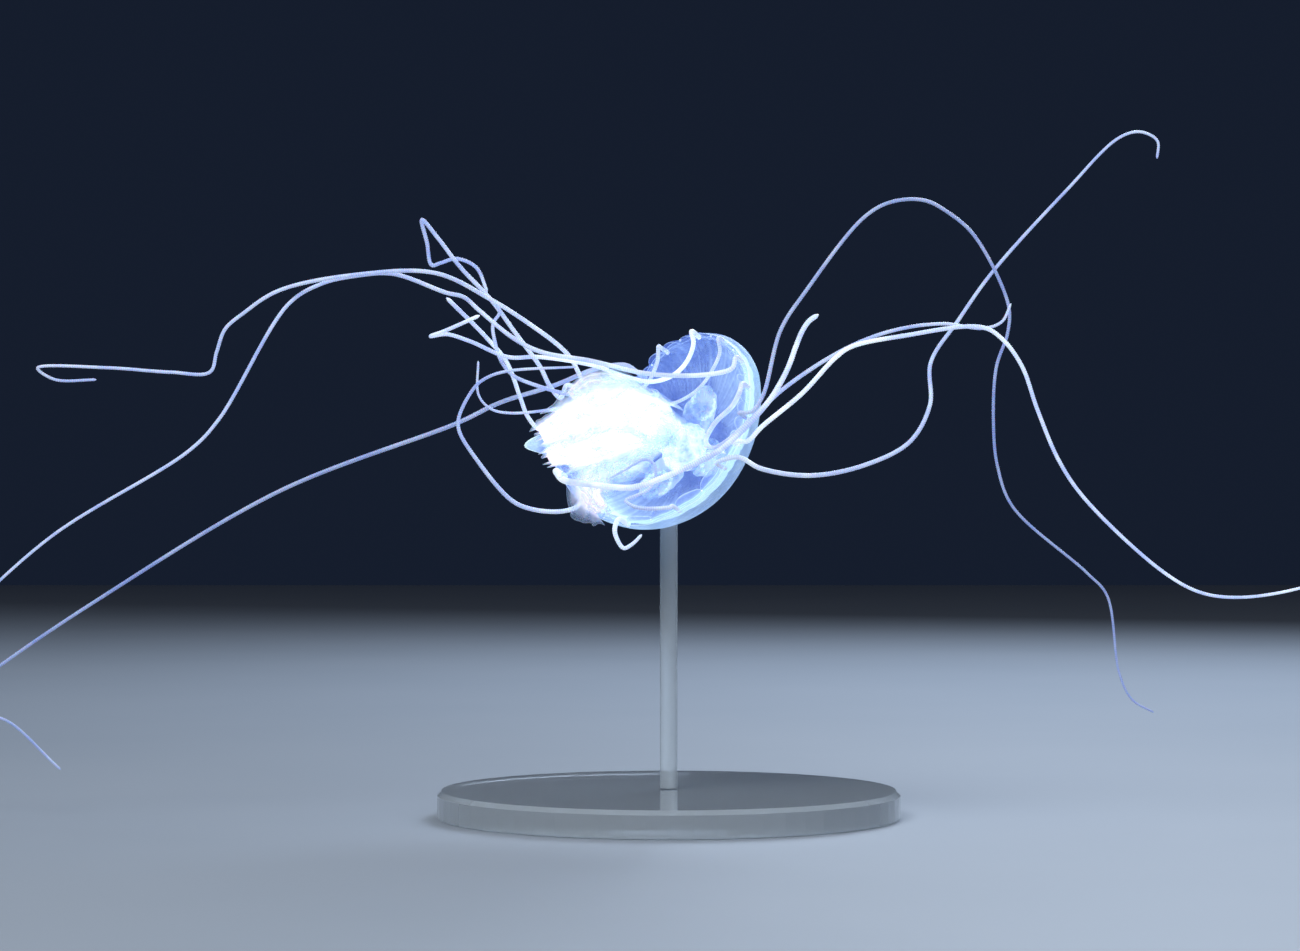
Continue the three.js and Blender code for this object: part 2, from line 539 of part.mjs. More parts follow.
const animal = new THREE.Group();
animal.position.set(-ROD_FROM_RIM.right, -ROD_FROM_RIM.away, RIM_LIFT);
animal.add(bell);
ARMS.forEach((_, index) => {
  animal.add(piece(`oral_arm_${index + 1}`, oralArm(index), ARM_FINISH));
});
TENTACLES.forEach((_, index) => animal.add(...tentacle(index)));
animal.add(piece("stand_rod", standRod(), STAND_FINISH));

const model = new THREE.Group();
model.add(animal, piece("stand_base", standBase(), STAND_FINISH));

export default model;
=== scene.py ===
import math
import random

import bpy
from mathutils import Matrix, Vector


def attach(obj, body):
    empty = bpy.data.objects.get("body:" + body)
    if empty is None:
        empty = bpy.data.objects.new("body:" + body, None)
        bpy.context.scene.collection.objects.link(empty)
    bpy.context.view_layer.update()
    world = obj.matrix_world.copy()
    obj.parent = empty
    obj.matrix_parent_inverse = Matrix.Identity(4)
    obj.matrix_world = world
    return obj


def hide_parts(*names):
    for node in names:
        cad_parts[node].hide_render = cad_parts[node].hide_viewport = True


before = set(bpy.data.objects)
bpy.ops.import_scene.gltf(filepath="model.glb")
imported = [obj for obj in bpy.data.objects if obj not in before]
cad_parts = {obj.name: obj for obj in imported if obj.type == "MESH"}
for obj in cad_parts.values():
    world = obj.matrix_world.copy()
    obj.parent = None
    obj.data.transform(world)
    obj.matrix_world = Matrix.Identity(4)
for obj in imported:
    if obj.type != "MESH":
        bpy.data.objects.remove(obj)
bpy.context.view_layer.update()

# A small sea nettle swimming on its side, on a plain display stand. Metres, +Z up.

bpy.ops.object.select_all(action="DESELECT")

MM = 0.001
seed = random.Random(16)

# ---- Sizes and places, as the solids have them ----------------------------------------------

RIM_CENTRE = Vector((-4, -5, 88)) * MM
BELL_RADIUS = 24 * MM
BELL_HEIGHT = 20 * MM
CAVITY_DEPTH = 15.2 * MM
MARGIN_THICKNESS = 0.9 * MM
MOUTH_TURN = math.radians(38.7)
MOUTH_ROLL = math.radians(34)
# The margin's folds: the angle, the width in degrees and the share of the radius.
MARGIN_FOLDS = [(68, 38, 0.29), (146, 35, -0.48), (212, 20, 0.18)]
FOLD_POWER = 3
MARGIN_CURL = (71, 37, 0.22)  # the swollen side's edge curls in
CURL_POWER = 10
STRETCHED_LAPPET = (219, 7, 5.6 * MM)  # angle, width in degrees, reach
TENTACLE_ANGLES = [2, 16, 31, 47, 63, 80, 98, 118, 140, 163, 187, 212, 238, 265, 295, 328]

LAPPETS = 2 * len(TENTACLE_ANGLES)
LAPPET_LENGTH = 2.8 * MM
LAPPET_CURL = 0.8 * MM
LAPPET_THICKNESS = 0.5 * MM
CLEFT_DEPTH = 0.35 * MM

MANUBRIUM_BASE_RADIUS = 6 * MM
MANUBRIUM_WAIST_RADIUS = 3.9 * MM
MOUTH_RADIUS = 4.3 * MM
MOUTH_DEPTH = 5 * MM
ARM_FROM_AXIS = 2.9 * MM
ARM_STRAIGHT = 2.2 * MM
ARM_ROOT_HALF_WIDTH = 1.2 * MM
ARM_TWIST = math.radians(30)
FIRST_POUCH = 5
POUCH_FROM_AXIS = 10.5 * MM
POUCH_RADIUS = 3.2 * MM
POUCH_TUBE_RADIUS = 0.7 * MM
POUCH_OPENING = 100
POUCHES = 4

ROOT_RADIUS = 0.6 * MM
ROOT_SUNK = 0.9 * MM
ROOT_STRAIGHT = 2.6 * MM
RING_SPACING = 0.5 * MM

OUT = Vector((-math.sin(MOUTH_TURN) * math.cos(MOUTH_ROLL), -math.cos(MOUTH_TURN),
              math.sin(MOUTH_TURN) * math.sin(MOUTH_ROLL)))
ACROSS = Vector((math.cos(MOUTH_TURN) * math.cos(MOUTH_ROLL), -math.sin(MOUTH_TURN),
                 -math.cos(MOUTH_TURN) * math.sin(MOUTH_ROLL)))
ALONG = Vector((math.sin(MOUTH_ROLL), 0, math.cos(MOUTH_ROLL)))
BELL_TURN = Matrix((ACROSS, ALONG, OUT)).transposed()


def in_bell(x, y, z):
    """A place in the bell's own directions, +Z out of its opening, as one in the frame."""
    return RIM_CENTRE + ACROSS * x + ALONG * y + OUT * z


def from_rim(right, away, up):
    """A place in millimetres from the middle of the margin, as one in the frame."""
    return RIM_CENTRE + Vector((right, away, up)) * MM


# Each tentacle: how stout its root is, the radius of its tip in millimetres, the CAD lengths it
# stands for, and its way from the margin's middle as [right, away, up] in millimetres.
FOUR = ("root", "upper", "lower", "tip")
THREE = ("root", "middle", "tip")
TWO = ("root", "tip")
WHOLE = ("whole",)
TENTACLES = [
    (1, 0.32, THREE, [  # right, up into a hook
        [19, -18, -7.5], [24, -19, -10], [35, -17, -11.5], [47.5, -14, -9], [57, -12, -4],
        [61.5, -10, 4], [62, -6, 13.5], [68.5, 0, 23], [77, 6, 34.5], [94, 11, 53],
        [106, 12.5, 65], [111, 13, 66.5], [115, 13.5, 64.5], [115, 14, 60.5]]),
    (1, 0.32, FOUR, [  # right, over and down
        [21, -19, -4], [24, -19.5, -1], [33, -20, 6.5], [40, -19.5, 14], [43.5, -19, 16.5],
        [55, -17, 19], [72.5, -15, 21], [77, -14, 18.5], [81.5, -13, 12.5], [85, -12, 3],
        [90, -11, -8.5], [96, -10, -17], [113.5, -8, -33], [122, -7, -37.5], [131, -6, -38.5],
        [144, -5, -36.5], [154, -4, -33]]),
    (0.85, 0.27, FOUR, [  # right, the tall arch
        [22, -16, 2.5], [24.5, -15.5, 6], [28.5, -13, 20.5], [34, -12, 29], [47, -8, 45.5],
        [53, -7, 49], [60.5, -6, 49.5], [66.5, -5, 46.5], [72, -4.5, 41.5], [79.5, -3, 26.5],
        [79.5, -2, 20.5], [77, -1, 12.5], [76.5, 0, -0.5], [77.5, 1, -9.5], [81, 2, -18.5],
        [98, 4, -33.5], [102.5, 5, -38.5], [105.5, 7, -56], [108.5, 8, -62], [113.5, 9, -65]]),
    (1.1, 0.32, THREE, [  # turns back inside the bell, then right
        [19.5, -15, 7], [17.9, -10.5, 3.8], [14.2, -7.5, 0.2], [12.2, -8.5, -3.4],
        [13.5, -15, -5.5], [16.5, -20, -4], [21.5, -21, 0.5], [29, -18, 7.5], [43, -12, 16.5],
        [53.5, -10, 20.5], [64.5, -9, 22], [73.5, -9, 21], [77.5, -9, 22.5], [79.5, -9, 26.5]]),
    (1, 0.32, FOUR, [  # left, long, over the top and down
        [18, -9.5, 12.3], [14, -8.5, 11], [0, -5, 11], [-13.5, -3.5, 14], [-24.5, -3, 16],
        [-30.5, -2, 19], [-38.5, 2, 25.5], [-42, 3, 28.5], [-46, 3, 29.5], [-57.5, 0, 33.5],
        [-65.5, -2, 33], [-73.5, -4, 31], [-80.5, -5, 26.5], [-95.5, -8, 1], [-102, -9, -6],
        [-131.5, -11, -24.5], [-153, -12, -43.5]]),
    (0.8, 0.27, TWO, [  # left, thin, behind the arms
        [15.3, -3.6, 16], [13.6, -1, 11.9], [11.2, 1, 8.5], [8, 2.2, 6], [4, 3, 4.5], [-9, 5, 5],
        [-16.5, 5, 5], [-21.5, 4, 3.5], [-32, 2, 2.5], [-36, 1, 3.5], [-38.5, 0, 6.5],
        [-38.5, -2, 14]]),
    (1, 0.45, TWO, [  # left, folded back at its end
        [9.5, 0.5, 18], [8, 1.5, 14], [5, 2.3, 11], [0, 2, 9.5], [-7, 1, 11], [-12.5, 1, 13],
        [-25, 1, 15], [-32, 1, 15], [-40.5, 0, 18.5], [-45.5, -1, 20], [-49, -3, 19.5],
        [-46, -5, 20.5], [-38, -5.5, 24]]),
    (0.9, 0.4, TWO, [  # left, low, up to the crossing
        [1.7, 2.4, 17.4], [1.4, 2.9, 14], [-1.5, 5, 8.5], [-6, 6, 7], [-16.5, 7, 6.5],
        [-26.5, 5, 9], [-31, 4, 11], [-33.5, 3, 14], [-35, 3.5, 18.5], [-35.5, 5, 22.5],
        [-34, 6, 25.5], [-35.5, 6, 28]]),
    (1, 0.32, FOUR, [  # left, far back and down, turning at its end
        [-5.5, 4, 13.2], [-9, 5.3, 13.2], [-14, 7, 12], [-21.5, 10, 9], [-34.5, 14.5, 5],
        [-44, 16, 0.5], [-85, 21, -15], [-128.5, 22, -41], [-149, 20, -55], [-158, 18, -62],
        [-161.5, 16, -66], [-157.5, 14, -68], [-147.5, 12, -66.5], [-133.5, 10, -78]]),
    (1, 0.32, FOUR, [  # far left, folded back at its end
        [-9.6, 5.4, 10.2], [-11.4, 4.3, 8.4], [-13.5, 3.5, 7.5], [-15, 3.5, 9], [-17.5, 4, 14],
        [-20, 4, 17], [-28, 4, 23], [-36, 3, 28], [-48, -4, 33.5], [-65, -7, 33],
        [-82.5, -6, 29.5], [-90.5, -5, 24.5], [-94.5, -5, 21], [-96.5, -4, 16], [-98, -4, 11.5],
        [-107, -3, 11.5], [-121, -2, 12.5], [-137, 0, 12.5], [-133.5, 2, 10],
        [-124.5, 4, 10]]),
    (1, 0.42, THREE, [  # left, high, curled at its end
        [-19, 12, 9], [-20.5, 9, 6], [-23, 8.5, 9], [-25, 9, 13], [-30.5, 10, 20.5],
        [-36, 8, 28], [-43, 6, 35.5], [-48, 5.5, 42], [-51.5, 5.5, 46], [-50.5, 7.5, 41],
        [-49.5, 8.5, 36], [-47.5, 9, 36.5], [-44, 9.5, 37.5], [-39.5, 9.5, 35.5],
        [-37, 10, 30]]),
    (0.9, 0.5, TWO, [  # left, short, straight up
        [-25.5, 12.5, -1], [-28, 11, 2], [-29.5, 9.5, 6], [-32.5, 7, 14], [-37, 6, 19.5],
        [-46, 6, 28.5]]),
    (1.35, 0.6, TWO, [  # across the front of the arms, stout and short
        [-21, 2, -11], [-19.5, -3.5, -12.5], [-13, -15, -13.5], [-8.5, -20, -14],
        [-3.5, -23, -14], [6, -25, -10.5], [15.5, -26, -5.5], [25, -25.5, 4], [27.7, -24.5, 8],
        [29.9, -23, 12.3], [31.5, -21.5, 16.6], [33, -20.5, 20.1], [34.5, -19.5, 22.2],
        [36.5, -18.5, 23.6]]),
    (1, 0.27, TWO, [  # left, a wide loop back to the bell
        [-16.5, -1.5, -18.5], [-20, -2, -19.5], [-26.5, -3, -19], [-31, -4, -17],
        [-39, -6, -7.5], [-42.5, -7, -1.5], [-42.5, -7, 1.5], [-39, -8, 8], [-36.5, -8.5, 10],
        [-32, -9, 11.5], [-16.5, -9, 12.5]]),
    (1.2, 0.35, WHOLE, [  # short, curled under the bell
        [-7.5, -9.5, -21.5], [-8, -10.5, -23.5], [-7.5, -10.5, -25.5], [-6, -10.5, -27.5],
        [-4, -10.5, -26.5], [-2, -10.5, -24.5]]),
    (0.9, 0.27, WHOLE, [  # a loop inside the bell
        [4, -16, -18.5], [-3, -16.5, -18.5], [-5.5, -15, -17], [-3.5, -15, -16],
        [-0.5, -15.5, -14.5], [1, -15.5, -11.8], [0.6, -15.3, -8.9], [-1.3, -15, -8],
        [-5.6, -15, -10.2], [-8.9, -15, -12]]),
]

# Each oral arm: the degrees round the mouth where it starts, its greatest half width in
# millimetres, and its way, as the tentacles have theirs.
ARMS = [
    (45, 3.4, [  # to the left, in front of the others
        [-6.5, -13, 3.5], [-13.5, -16, 2.5], [-19, -17, -0.5], [-24, -17, -3]]),
    (135, 2.6, [  # over the top
        [-5, -6, 6.5], [-9.5, -8, 8.5], [-13.5, -9, 8.3], [-17.5, -9, 5.5]]),
    (225, 3.2, [  # to the left, low
        [-5, -5.5, -1.8], [-9.5, -9, -3.8], [-14.5, -10.5, -6], [-20, -11, -7],
        [-22.5, -12, -8]]),
    (315, 2.6, [  # down along the lower rim
        [-4, 0.8, -6.8], [-9.5, -2, -8.5], [-13, -3, -12], [-13.2, -5.5, -16],
        [-10.8, -8, -19]]),
]

# ---- Camera ---------------------------------------------------------------------------------

CAMERA_RIGHT = -4.22 * MM
CAMERA_HEIGHT = 76.5 * MM
CAMERA_DISTANCE = 0.8  # in front of the margin's middle
LENS = 99.2  # in millimetres, as the sensor's width is
SENSOR_WIDTH = 36
NEAREST_SEEN = 0.01


def add_camera():
    place = Vector((CAMERA_RIGHT, RIM_CENTRE.y - CAMERA_DISTANCE, CAMERA_HEIGHT))
    bpy.ops.object.camera_add(location=place, rotation=(math.pi / 2, 0, 0))
    camera = bpy.context.object
    camera.data.lens = LENS
    camera.data.sensor_width = SENSOR_WIDTH
    camera.data.clip_start = NEAREST_SEEN
    bpy.context.scene.camera = camera


# ---- Curves ---------------------------------------------------------------------------------

FINER = 3  # how much finer than its steps a curve is first drawn
FEWEST_PIECES = 6  # between two of its points


def smooth_curve(points, step):
    """Places at even steps along a centripetal curve through the points."""
    knots = [2 * points[0] - points[1], *points, 2 * points[-1] - points[-2]]
    fine = []
    for before, start, end, after in zip(knots, knots[1:], knots[2:], knots[3:]):
        gaps = [(b - a).length ** 0.5 for a, b in ((before, start), (start, end), (end, after))]
        leave = ((start - before) / gaps[0] - (end - before) / (gaps[0] + gaps[1])
                 + (end - start) / gaps[1]) * gaps[1]
        arrive = ((end - start) / gaps[1] - (after - start) / (gaps[1] + gaps[2])
                  + (after - end) / gaps[2]) * gaps[1]
        pieces = max(int((end - start).length / step * FINER), FEWEST_PIECES)
        for number in range(pieces):
            t = number / pieces
            fine.append(start + leave * t + (3 * (end - start) - 2 * leave - arrive) * t ** 2
                        + (2 * (start - end) + leave + arrive) * t ** 3)
    fine.append(points[-1].copy())
    lengths = [0.0]
    for one, other in zip(fine, fine[1:]):
        lengths.append(lengths[-1] + (other - one).length)
    count = max(int(lengths[-1] / step), 2)
    places, at = [], 0
    for number in range(count + 1):
        wanted = lengths[-1] * number / count
        while at < len(fine) - 2 and lengths[at + 1] < wanted:
            at += 1
        share = (wanted - lengths[at]) / max(lengths[at + 1] - lengths[at], 1e-12)
        places.append(fine[at].lerp(fine[at + 1], share))
    return places, lengths[-1]


def bump_at(angle, at, width):
    """1 at an angle, and falling off to both sides of it, in degrees."""
    return math.exp(-(((angle + 180 - at) % 360 - 180) / width) ** 2)


def wavering(waves, along, phase=1):
    """The sum of some waves: the size of each, how fast it turns, and its share of the phase."""
    return sum(size * math.sin(rate * along + shift * phase) for size, rate, shift in waves)


def folded_radius(angle, down):
    """The bell's radius. The folds of its margin die out up the dome, and its curl at once."""
    fold = sum(share * bump_at(angle, at, width) for at, width, share in MARGIN_FOLDS)
    at, width, share = MARGIN_CURL
    curl = share * bump_at(angle, at, width)
    return BELL_RADIUS * (1 + (down / 90) ** FOLD_POWER * fold - (down / 90) ** CURL_POWER * curl)


def dome_place(angle, down, height, outwards):
    """A place on a dome of this height: the angle round the axis and how far down from the top,
    in degrees. At the margin it lies this far outside the bell's skin."""
    skin = folded_radius(angle, down)
    change = folded_radius(angle + 1, down) - folded_radius(angle - 1, down)
    slant = change / (2 * math.radians(1) * skin)
    reach = (skin + outwards * math.hypot(1, slant)) * math.sin(math.radians(down))
    return Vector((reach * math.cos(math.radians(angle)), reach * math.sin(math.radians(angle)),
                   -height * math.cos(math.radians(down))))


# ---- Finishing a piece ----------------------------------------------------------------------

MERGE_DISTANCE = 1e-7
STRAND_ROUNDNESS = 3


def finished(piece, name, material, nodes=()):
    """Names a piece, applies its place, gives it its finish, hangs it on the root body and hides
    the CAD parts that it stands for.
    """
    bpy.ops.object.select_all(action="DESELECT")
    bpy.context.view_layer.objects.active = piece
    piece.select_set(True)
    bpy.ops.object.transform_apply(location=True, rotation=True, scale=True)
    bpy.ops.object.shade_smooth()
    piece.name = name
    piece.data.name = name
    piece.data.materials.clear()
    piece.data.materials.append(material)
    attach(piece, "root")
    if nodes:
        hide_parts(*nodes)
    piece.select_set(False)
    return piece


def close_mesh(piece):
    """Merges doubles, fills open ends and turns the faces outwards."""
    bpy.ops.object.mode_set(mode="EDIT")
    bpy.ops.mesh.select_all(action="SELECT")
    bpy.ops.mesh.remove_doubles(threshold=MERGE_DISTANCE)
    bpy.ops.mesh.select_all(action="DESELECT")
    bpy.ops.mesh.select_non_manifold()
    bpy.ops.mesh.edge_face_add()
    bpy.ops.mesh.select_all(action="SELECT")
    bpy.ops.mesh.normals_make_consistent(inside=False)
    bpy.ops.object.mode_set(mode="OBJECT")


def strand(places, radii, spacing):
    """A closed tube of changing thickness. Its UV map holds the share of its length, and the
    length counted in RING_SPACING."""
    bpy.ops.curve.primitive_nurbs_path_add(location=(0, 0, 0))
    piece = bpy.context.object
    curve = piece.data
    curve.splines.clear()
    spline = curve.splines.new("POLY")
    spline.points.add(len(places) - 1)
    for point, place, radius in zip(spline.points, places, radii):
        point.co = (*place, 1)
        point.radius = radius
    curve.bevel_depth = 1
    curve.bevel_resolution = STRAND_ROUNDNESS
    curve.use_fill_caps = False
    curve.twist_mode = "MINIMUM"
    bpy.ops.object.convert(target="MESH")
    piece = bpy.context.object
    layer = piece.data.uv_layers[0]
    along = (len(places) - 1) * spacing / RING_SPACING
    for loop in layer.data:
        loop.uv = (loop.uv[0], loop.uv[0] * along)
    close_mesh(piece)
    return piece


# ---- Finishes -------------------------------------------------------------------------------


class Finish:
    """A material with one Principled BSDF, and short ways to add and join its nodes."""

    def __init__(self, name, **fixed):
        self.material = bpy.data.materials.new(name)
        self.material.use_nodes = True
        self.nodes = self.material.node_tree.nodes
        self.links = self.material.node_tree.links
        self.shader = self.nodes["Principled BSDF"]
        for socket, value in fixed.items():
            self.shader.inputs[socket.replace("_", " ")].default_value = value

    def add(self, kind, **settings):
        node = self.nodes.new(kind)
        for name, value in settings.items():
            setattr(node, name, value)
        return node

    def join(self, source, target):
        self.links.new(source, target)

    def to_shader(self, source, socket):
        self.links.new(source, self.shader.inputs[socket])

    def paint_glow(self, colour, strength):
        """One colour for what the surface reflects and, as painted glow, for emission that stands
        in for the light shining through the tissue; the tissue is no lamp.
        """
        self.to_shader(colour, "Base Color")
        self.to_shader(colour, "Emission Color")
        self.shader.inputs["Emission Strength"].default_value = strength

    def math(self, operation, *values, clamp=False):
        node = self.add("ShaderNodeMath", operation=operation, use_clamp=clamp)
        for socket, value in zip(node.inputs, values):
            if isinstance(value, (int, float)):
                socket.default_value = value
            else:
                self.join(value, socket)
        return node.outputs[0]

    def mix(self, factor, low, high):
        """Mixes two colours by a factor."""
        node = self.add("ShaderNodeMix", data_type="RGBA")
        colours = [socket for socket in node.inputs if socket.type == "RGBA"]
        for socket, value in ((node.inputs[0], factor), (colours[0], low), (colours[1], high)):
            if isinstance(value, (int, float)):
                socket.default_value = value
            elif isinstance(value, tuple):
                socket.default_value = (*value, 1)
            else:
                self.join(value, socket)
        return next(socket for socket in node.outputs if socket.type == "RGBA")

    def ramp(self, source, *stops):
        """A value through a curve of (place, value) stops."""
        node = self.add("ShaderNodeValToRGB")
        node.color_ramp.interpolation = "EASE"
        elements = node.color_ramp.elements
        while len(elements) < len(stops):
            elements.new(0.5)
        for element, (place, value) in zip(elements, stops):
            element.position = place
            element.color = (value, value, value, 1)
        self.join(source, node.inputs[0])
        return node.outputs[0]

    def group(self, tree, **values):
        node = self.add("ShaderNodeGroup", node_tree=tree)
        for name, value in values.items():
            socket = node.inputs[name.replace("_", " ")]
            if isinstance(value, (int, float)):
                socket.default_value = value
            else:
                self.join(value, socket)
        return node

    def bump(self, height, strength, distance):
        node = self.add("ShaderNodeBump")
        node.inputs["Strength"].default_value = strength
        node.inputs["Distance"].default_value = distance
        self.join(height, node.inputs["Height"])
        self.to_shader(node.outputs["Normal"], "Normal")


def grain_group():
    """Cloudy patches and fine grains, as soft tissue shows them."""
    tree = bpy.data.node_groups.new("tissue_grain", "ShaderNodeTree")
    for name, kind, default in (("Place", "NodeSocketVector", None),
                                ("Cloud Scale", "NodeSocketFloat", 200),
                                ("Grain Scale", "NodeSocketFloat", 1800)):
        socket = tree.interface.new_socket(name, in_out="INPUT", socket_type=kind)
        if default is not None:
            socket.default_value = default
    for name in ("Cloud", "Grain", "Height"):
        tree.interface.new_socket(name, in_out="OUTPUT", socket_type="NodeSocketFloat")
    given = tree.nodes.new("NodeGroupInput")
    result = tree.nodes.new("NodeGroupOutput")
    cloud = tree.nodes.new("ShaderNodeTexNoise")
    cloud.inputs["Detail"].default_value = 3
    cloud.inputs["Roughness"].default_value = 0.6
    grain = tree.nodes.new("ShaderNodeTexVoronoi")
    spots = tree.nodes.new("ShaderNodeMapRange")
    spots.inputs["From Min"].default_value = 0.5
    spots.inputs["From Max"].default_value = 0.15
    both = tree.nodes.new("ShaderNodeMath")
    both.operation = "ADD"
    links = tree.links
    links.new(given.outputs["Place"], cloud.inputs["Vector"])
    links.new(given.outputs["Cloud Scale"], cloud.inputs["Scale"])
    links.new(given.outputs["Place"], grain.inputs["Vector"])
    links.new(given.outputs["Grain Scale"], grain.inputs["Scale"])
    links.new(grain.outputs["Distance"], spots.inputs["Value"])
    links.new(cloud.outputs[0], both.inputs[0])
    links.new(spots.outputs["Result"], both.inputs[1])
    links.new(cloud.outputs[0], result.inputs["Cloud"])
    links.new(spots.outputs["Result"], result.inputs["Grain"])
    links.new(both.outputs[0], result.inputs["Height"])
    return tree


TISSUE_GRAIN = grain_group()

CLEAR_BLUE = (0.17, 0.28, 0.84)
OUTER_BLUE = (0.2, 0.45, 1.0)  # the dome's outer side towards the margin
MILK_BLUE = (0.78, 1.0, 1.0)
# How strong the bell's painted glow is: emission in place of the light shining through the jelly.
JELLY_PAINTED_GLOW = 0.52
# The bell grows milkier to one side of a place, down and to the right, over this depth.
MILKY_FROM = Vector((-9, 0, 88)) * MM
MILKY_DEPTH = 12 * MM
PALE_LAPPET_FROM = -26 * MM  # the stretched lappet is paler than the others
PALE_LAPPET_DEPTH = 4 * MM
STREAKS_AROUND = 26

# Each kind of tissue: its colour where thin and where thick, the strength of its painted glow
# (emission standing in for light shining through it), and how opaque it is where thin and where
# thick.
TISSUES = {
    "frill_tissue": ((0.5, 0.7, 1.0), (1.0, 1.0, 1.0), 0.5, (0.1, 0.92)),
    "thin_frill_tissue": ((0.4, 0.66, 1.0), (0.82, 0.97, 1.0), 0.3, (0.06, 0.5)),
    "trailing_frill_tissue": ((0.42, 0.62, 1.0), (0.92, 0.98, 1.0), 0.34, (0.06, 0.6)),
    "stalk_tissue": ((0.6, 0.8, 1.0), (0.95, 1.0, 1.0), 0.42, (0.3, 0.75)),
    "pouch_tissue": ((0.45, 0.7, 1.0), (0.84, 1.0, 1.0), 0.4, (0.07, 0.26)),
}
TIP_BLUSH = (1.0, 0.9, 0.95)

# Each kind of strand: the strength of its painted glow, and how pale it is against the others. The
# lit and the shaded strands are copies of one tissue, painted brighter and dimmer for the light
# that falls on them.
STRANDS = {"pale_strand": (0.34, 1), "painted_lit_strand": (0.5, 1.25), "painted_shaded_strand": (0.17, 0.7)}
STRAND_BLUE = (0.2, 0.31, 0.78)
STRAND_WHITE = (0.88, 0.95, 1.0)

ACRYLIC_TINT = (0.86, 0.91, 0.94, 1)
FLOOR_GREYS = ((0.31, 0.345, 0.39), (0.36, 0.39, 0.43))


def jelly_finish():
    """The bell: clear blue jelly with a thin pale line along the margin, a milky ring inside it,
    radial streaks on the cavity's wall and fine mottling. Down the skin, the UV map's Y is 0 at
    the top outside, 0.42 and 0.58 at the lappets' roots outside and inside, 0.5 at their tips
    and 1 at the cavity's roof."""
    finish = Finish("bell_jelly", Roughness=0.4, IOR=1.34, Coat_Weight=0.08, Coat_Roughness=0.3)
    place = finish.add("ShaderNodeTexCoord")
    grain = finish.group(TISSUE_GRAIN, Place=place.outputs["Object"], Cloud_Scale=130,
                         Grain_Scale=1100)
    parts = finish.add("ShaderNodeSeparateXYZ")
    finish.join(place.outputs["UV"], parts.inputs[0])
    around, down = parts.outputs["X"], parts.outputs["Y"]
    where = finish.add("ShaderNodeSeparateXYZ")
    finish.join(place.outputs["Object"], where.inputs[0])
    aslant = finish.math("SUBTRACT", where.outputs["X"], where.outputs["Z"])
    milky_side = finish.math("MULTIPLY_ADD", aslant, 0.7 / MILKY_DEPTH,
                             0.7 * (MILKY_FROM.z - MILKY_FROM.x) / MILKY_DEPTH, clamp=True)
    streaks = finish.add("ShaderNodeTexNoise", noise_dimensions="1D")
    streaks.inputs["Detail"].default_value = 1
    streaks.inputs["Roughness"].default_value = 0.35
    finish.join(finish.math("MULTIPLY", around, STREAKS_AROUND), streaks.inputs["W"])
    inner_wall = finish.ramp(down, (0.585, 0), (0.61, 1), (0.75, 0.8), (0.92, 0))
    streak = finish.math("MULTIPLY", finish.ramp(streaks.outputs[0], (0.4, 0), (0.66, 1)),
                         inner_wall)
    outline = finish.ramp(down, (0.41, 0), (0.42, 1), (0.432, 0), (0.49, 0), (0.5, 0.8),
                          (0.51, 0), (0.57, 0), (0.58, 0.6), (0.59, 0))
    haze = finish.math("MULTIPLY", milky_side,
                       finish.ramp(down, (0.49, 0), (0.51, 0.6), (0.585, 1), (0.64, 0.8),
                                   (0.76, 0)))
    arc = finish.math("MULTIPLY", finish.ramp(down, (0.68, 0), (0.698, 1), (0.71, 0)), milky_side)
    lappets = finish.ramp(down, (0.43, 0), (0.45, 1), (0.55, 1), (0.57, 0))
    pale_lappet = finish.math("MULTIPLY_ADD", where.outputs["X"], -1 / PALE_LAPPET_DEPTH,
                              PALE_LAPPET_FROM / PALE_LAPPET_DEPTH, clamp=True)
    outer_wall = finish.math("MULTIPLY", finish.ramp(down, (0.15, 0), (0.34, 1), (0.41, 1),
                                                     (0.43, 0)),
                             finish.math("MULTIPLY_ADD", milky_side, 0.7, 0.3))
    clouds = finish.ramp(grain.outputs["Cloud"], (0.4, 0), (0.66, 1))
    milk = 0.02
    for source, share in ((streak, 0.16), (clouds, 0.16), (grain.outputs["Grain"], 0.06),
                          (finish.math("MULTIPLY", milky_side, inner_wall), 0.5), (haze, 0.62),
                          (arc, 0.25), (lappets, -0.15), (outline, 0.7),
                          (outer_wall, 0.42), (pale_lappet, 0.6)):
        milk = finish.math("MULTIPLY_ADD", source, share, milk)
    milk = finish.math("MINIMUM", finish.math("MAXIMUM", milk, 0.0), 1.0)
    colour = finish.mix(milk, finish.mix(outer_wall, CLEAR_BLUE, OUTER_BLUE), MILK_BLUE)
    # Painted glow: the bell's colour is also emitted, standing in for the light that shines
    # through it.
    finish.paint_glow(colour, JELLY_PAINTED_GLOW)
    finish.to_shader(finish.math("MULTIPLY_ADD", milk, 0.6, 0.22), "Alpha")
    finish.bump(grain.outputs["Cloud"], strength=0.1, distance=0.1 * MM)
    return finish.material


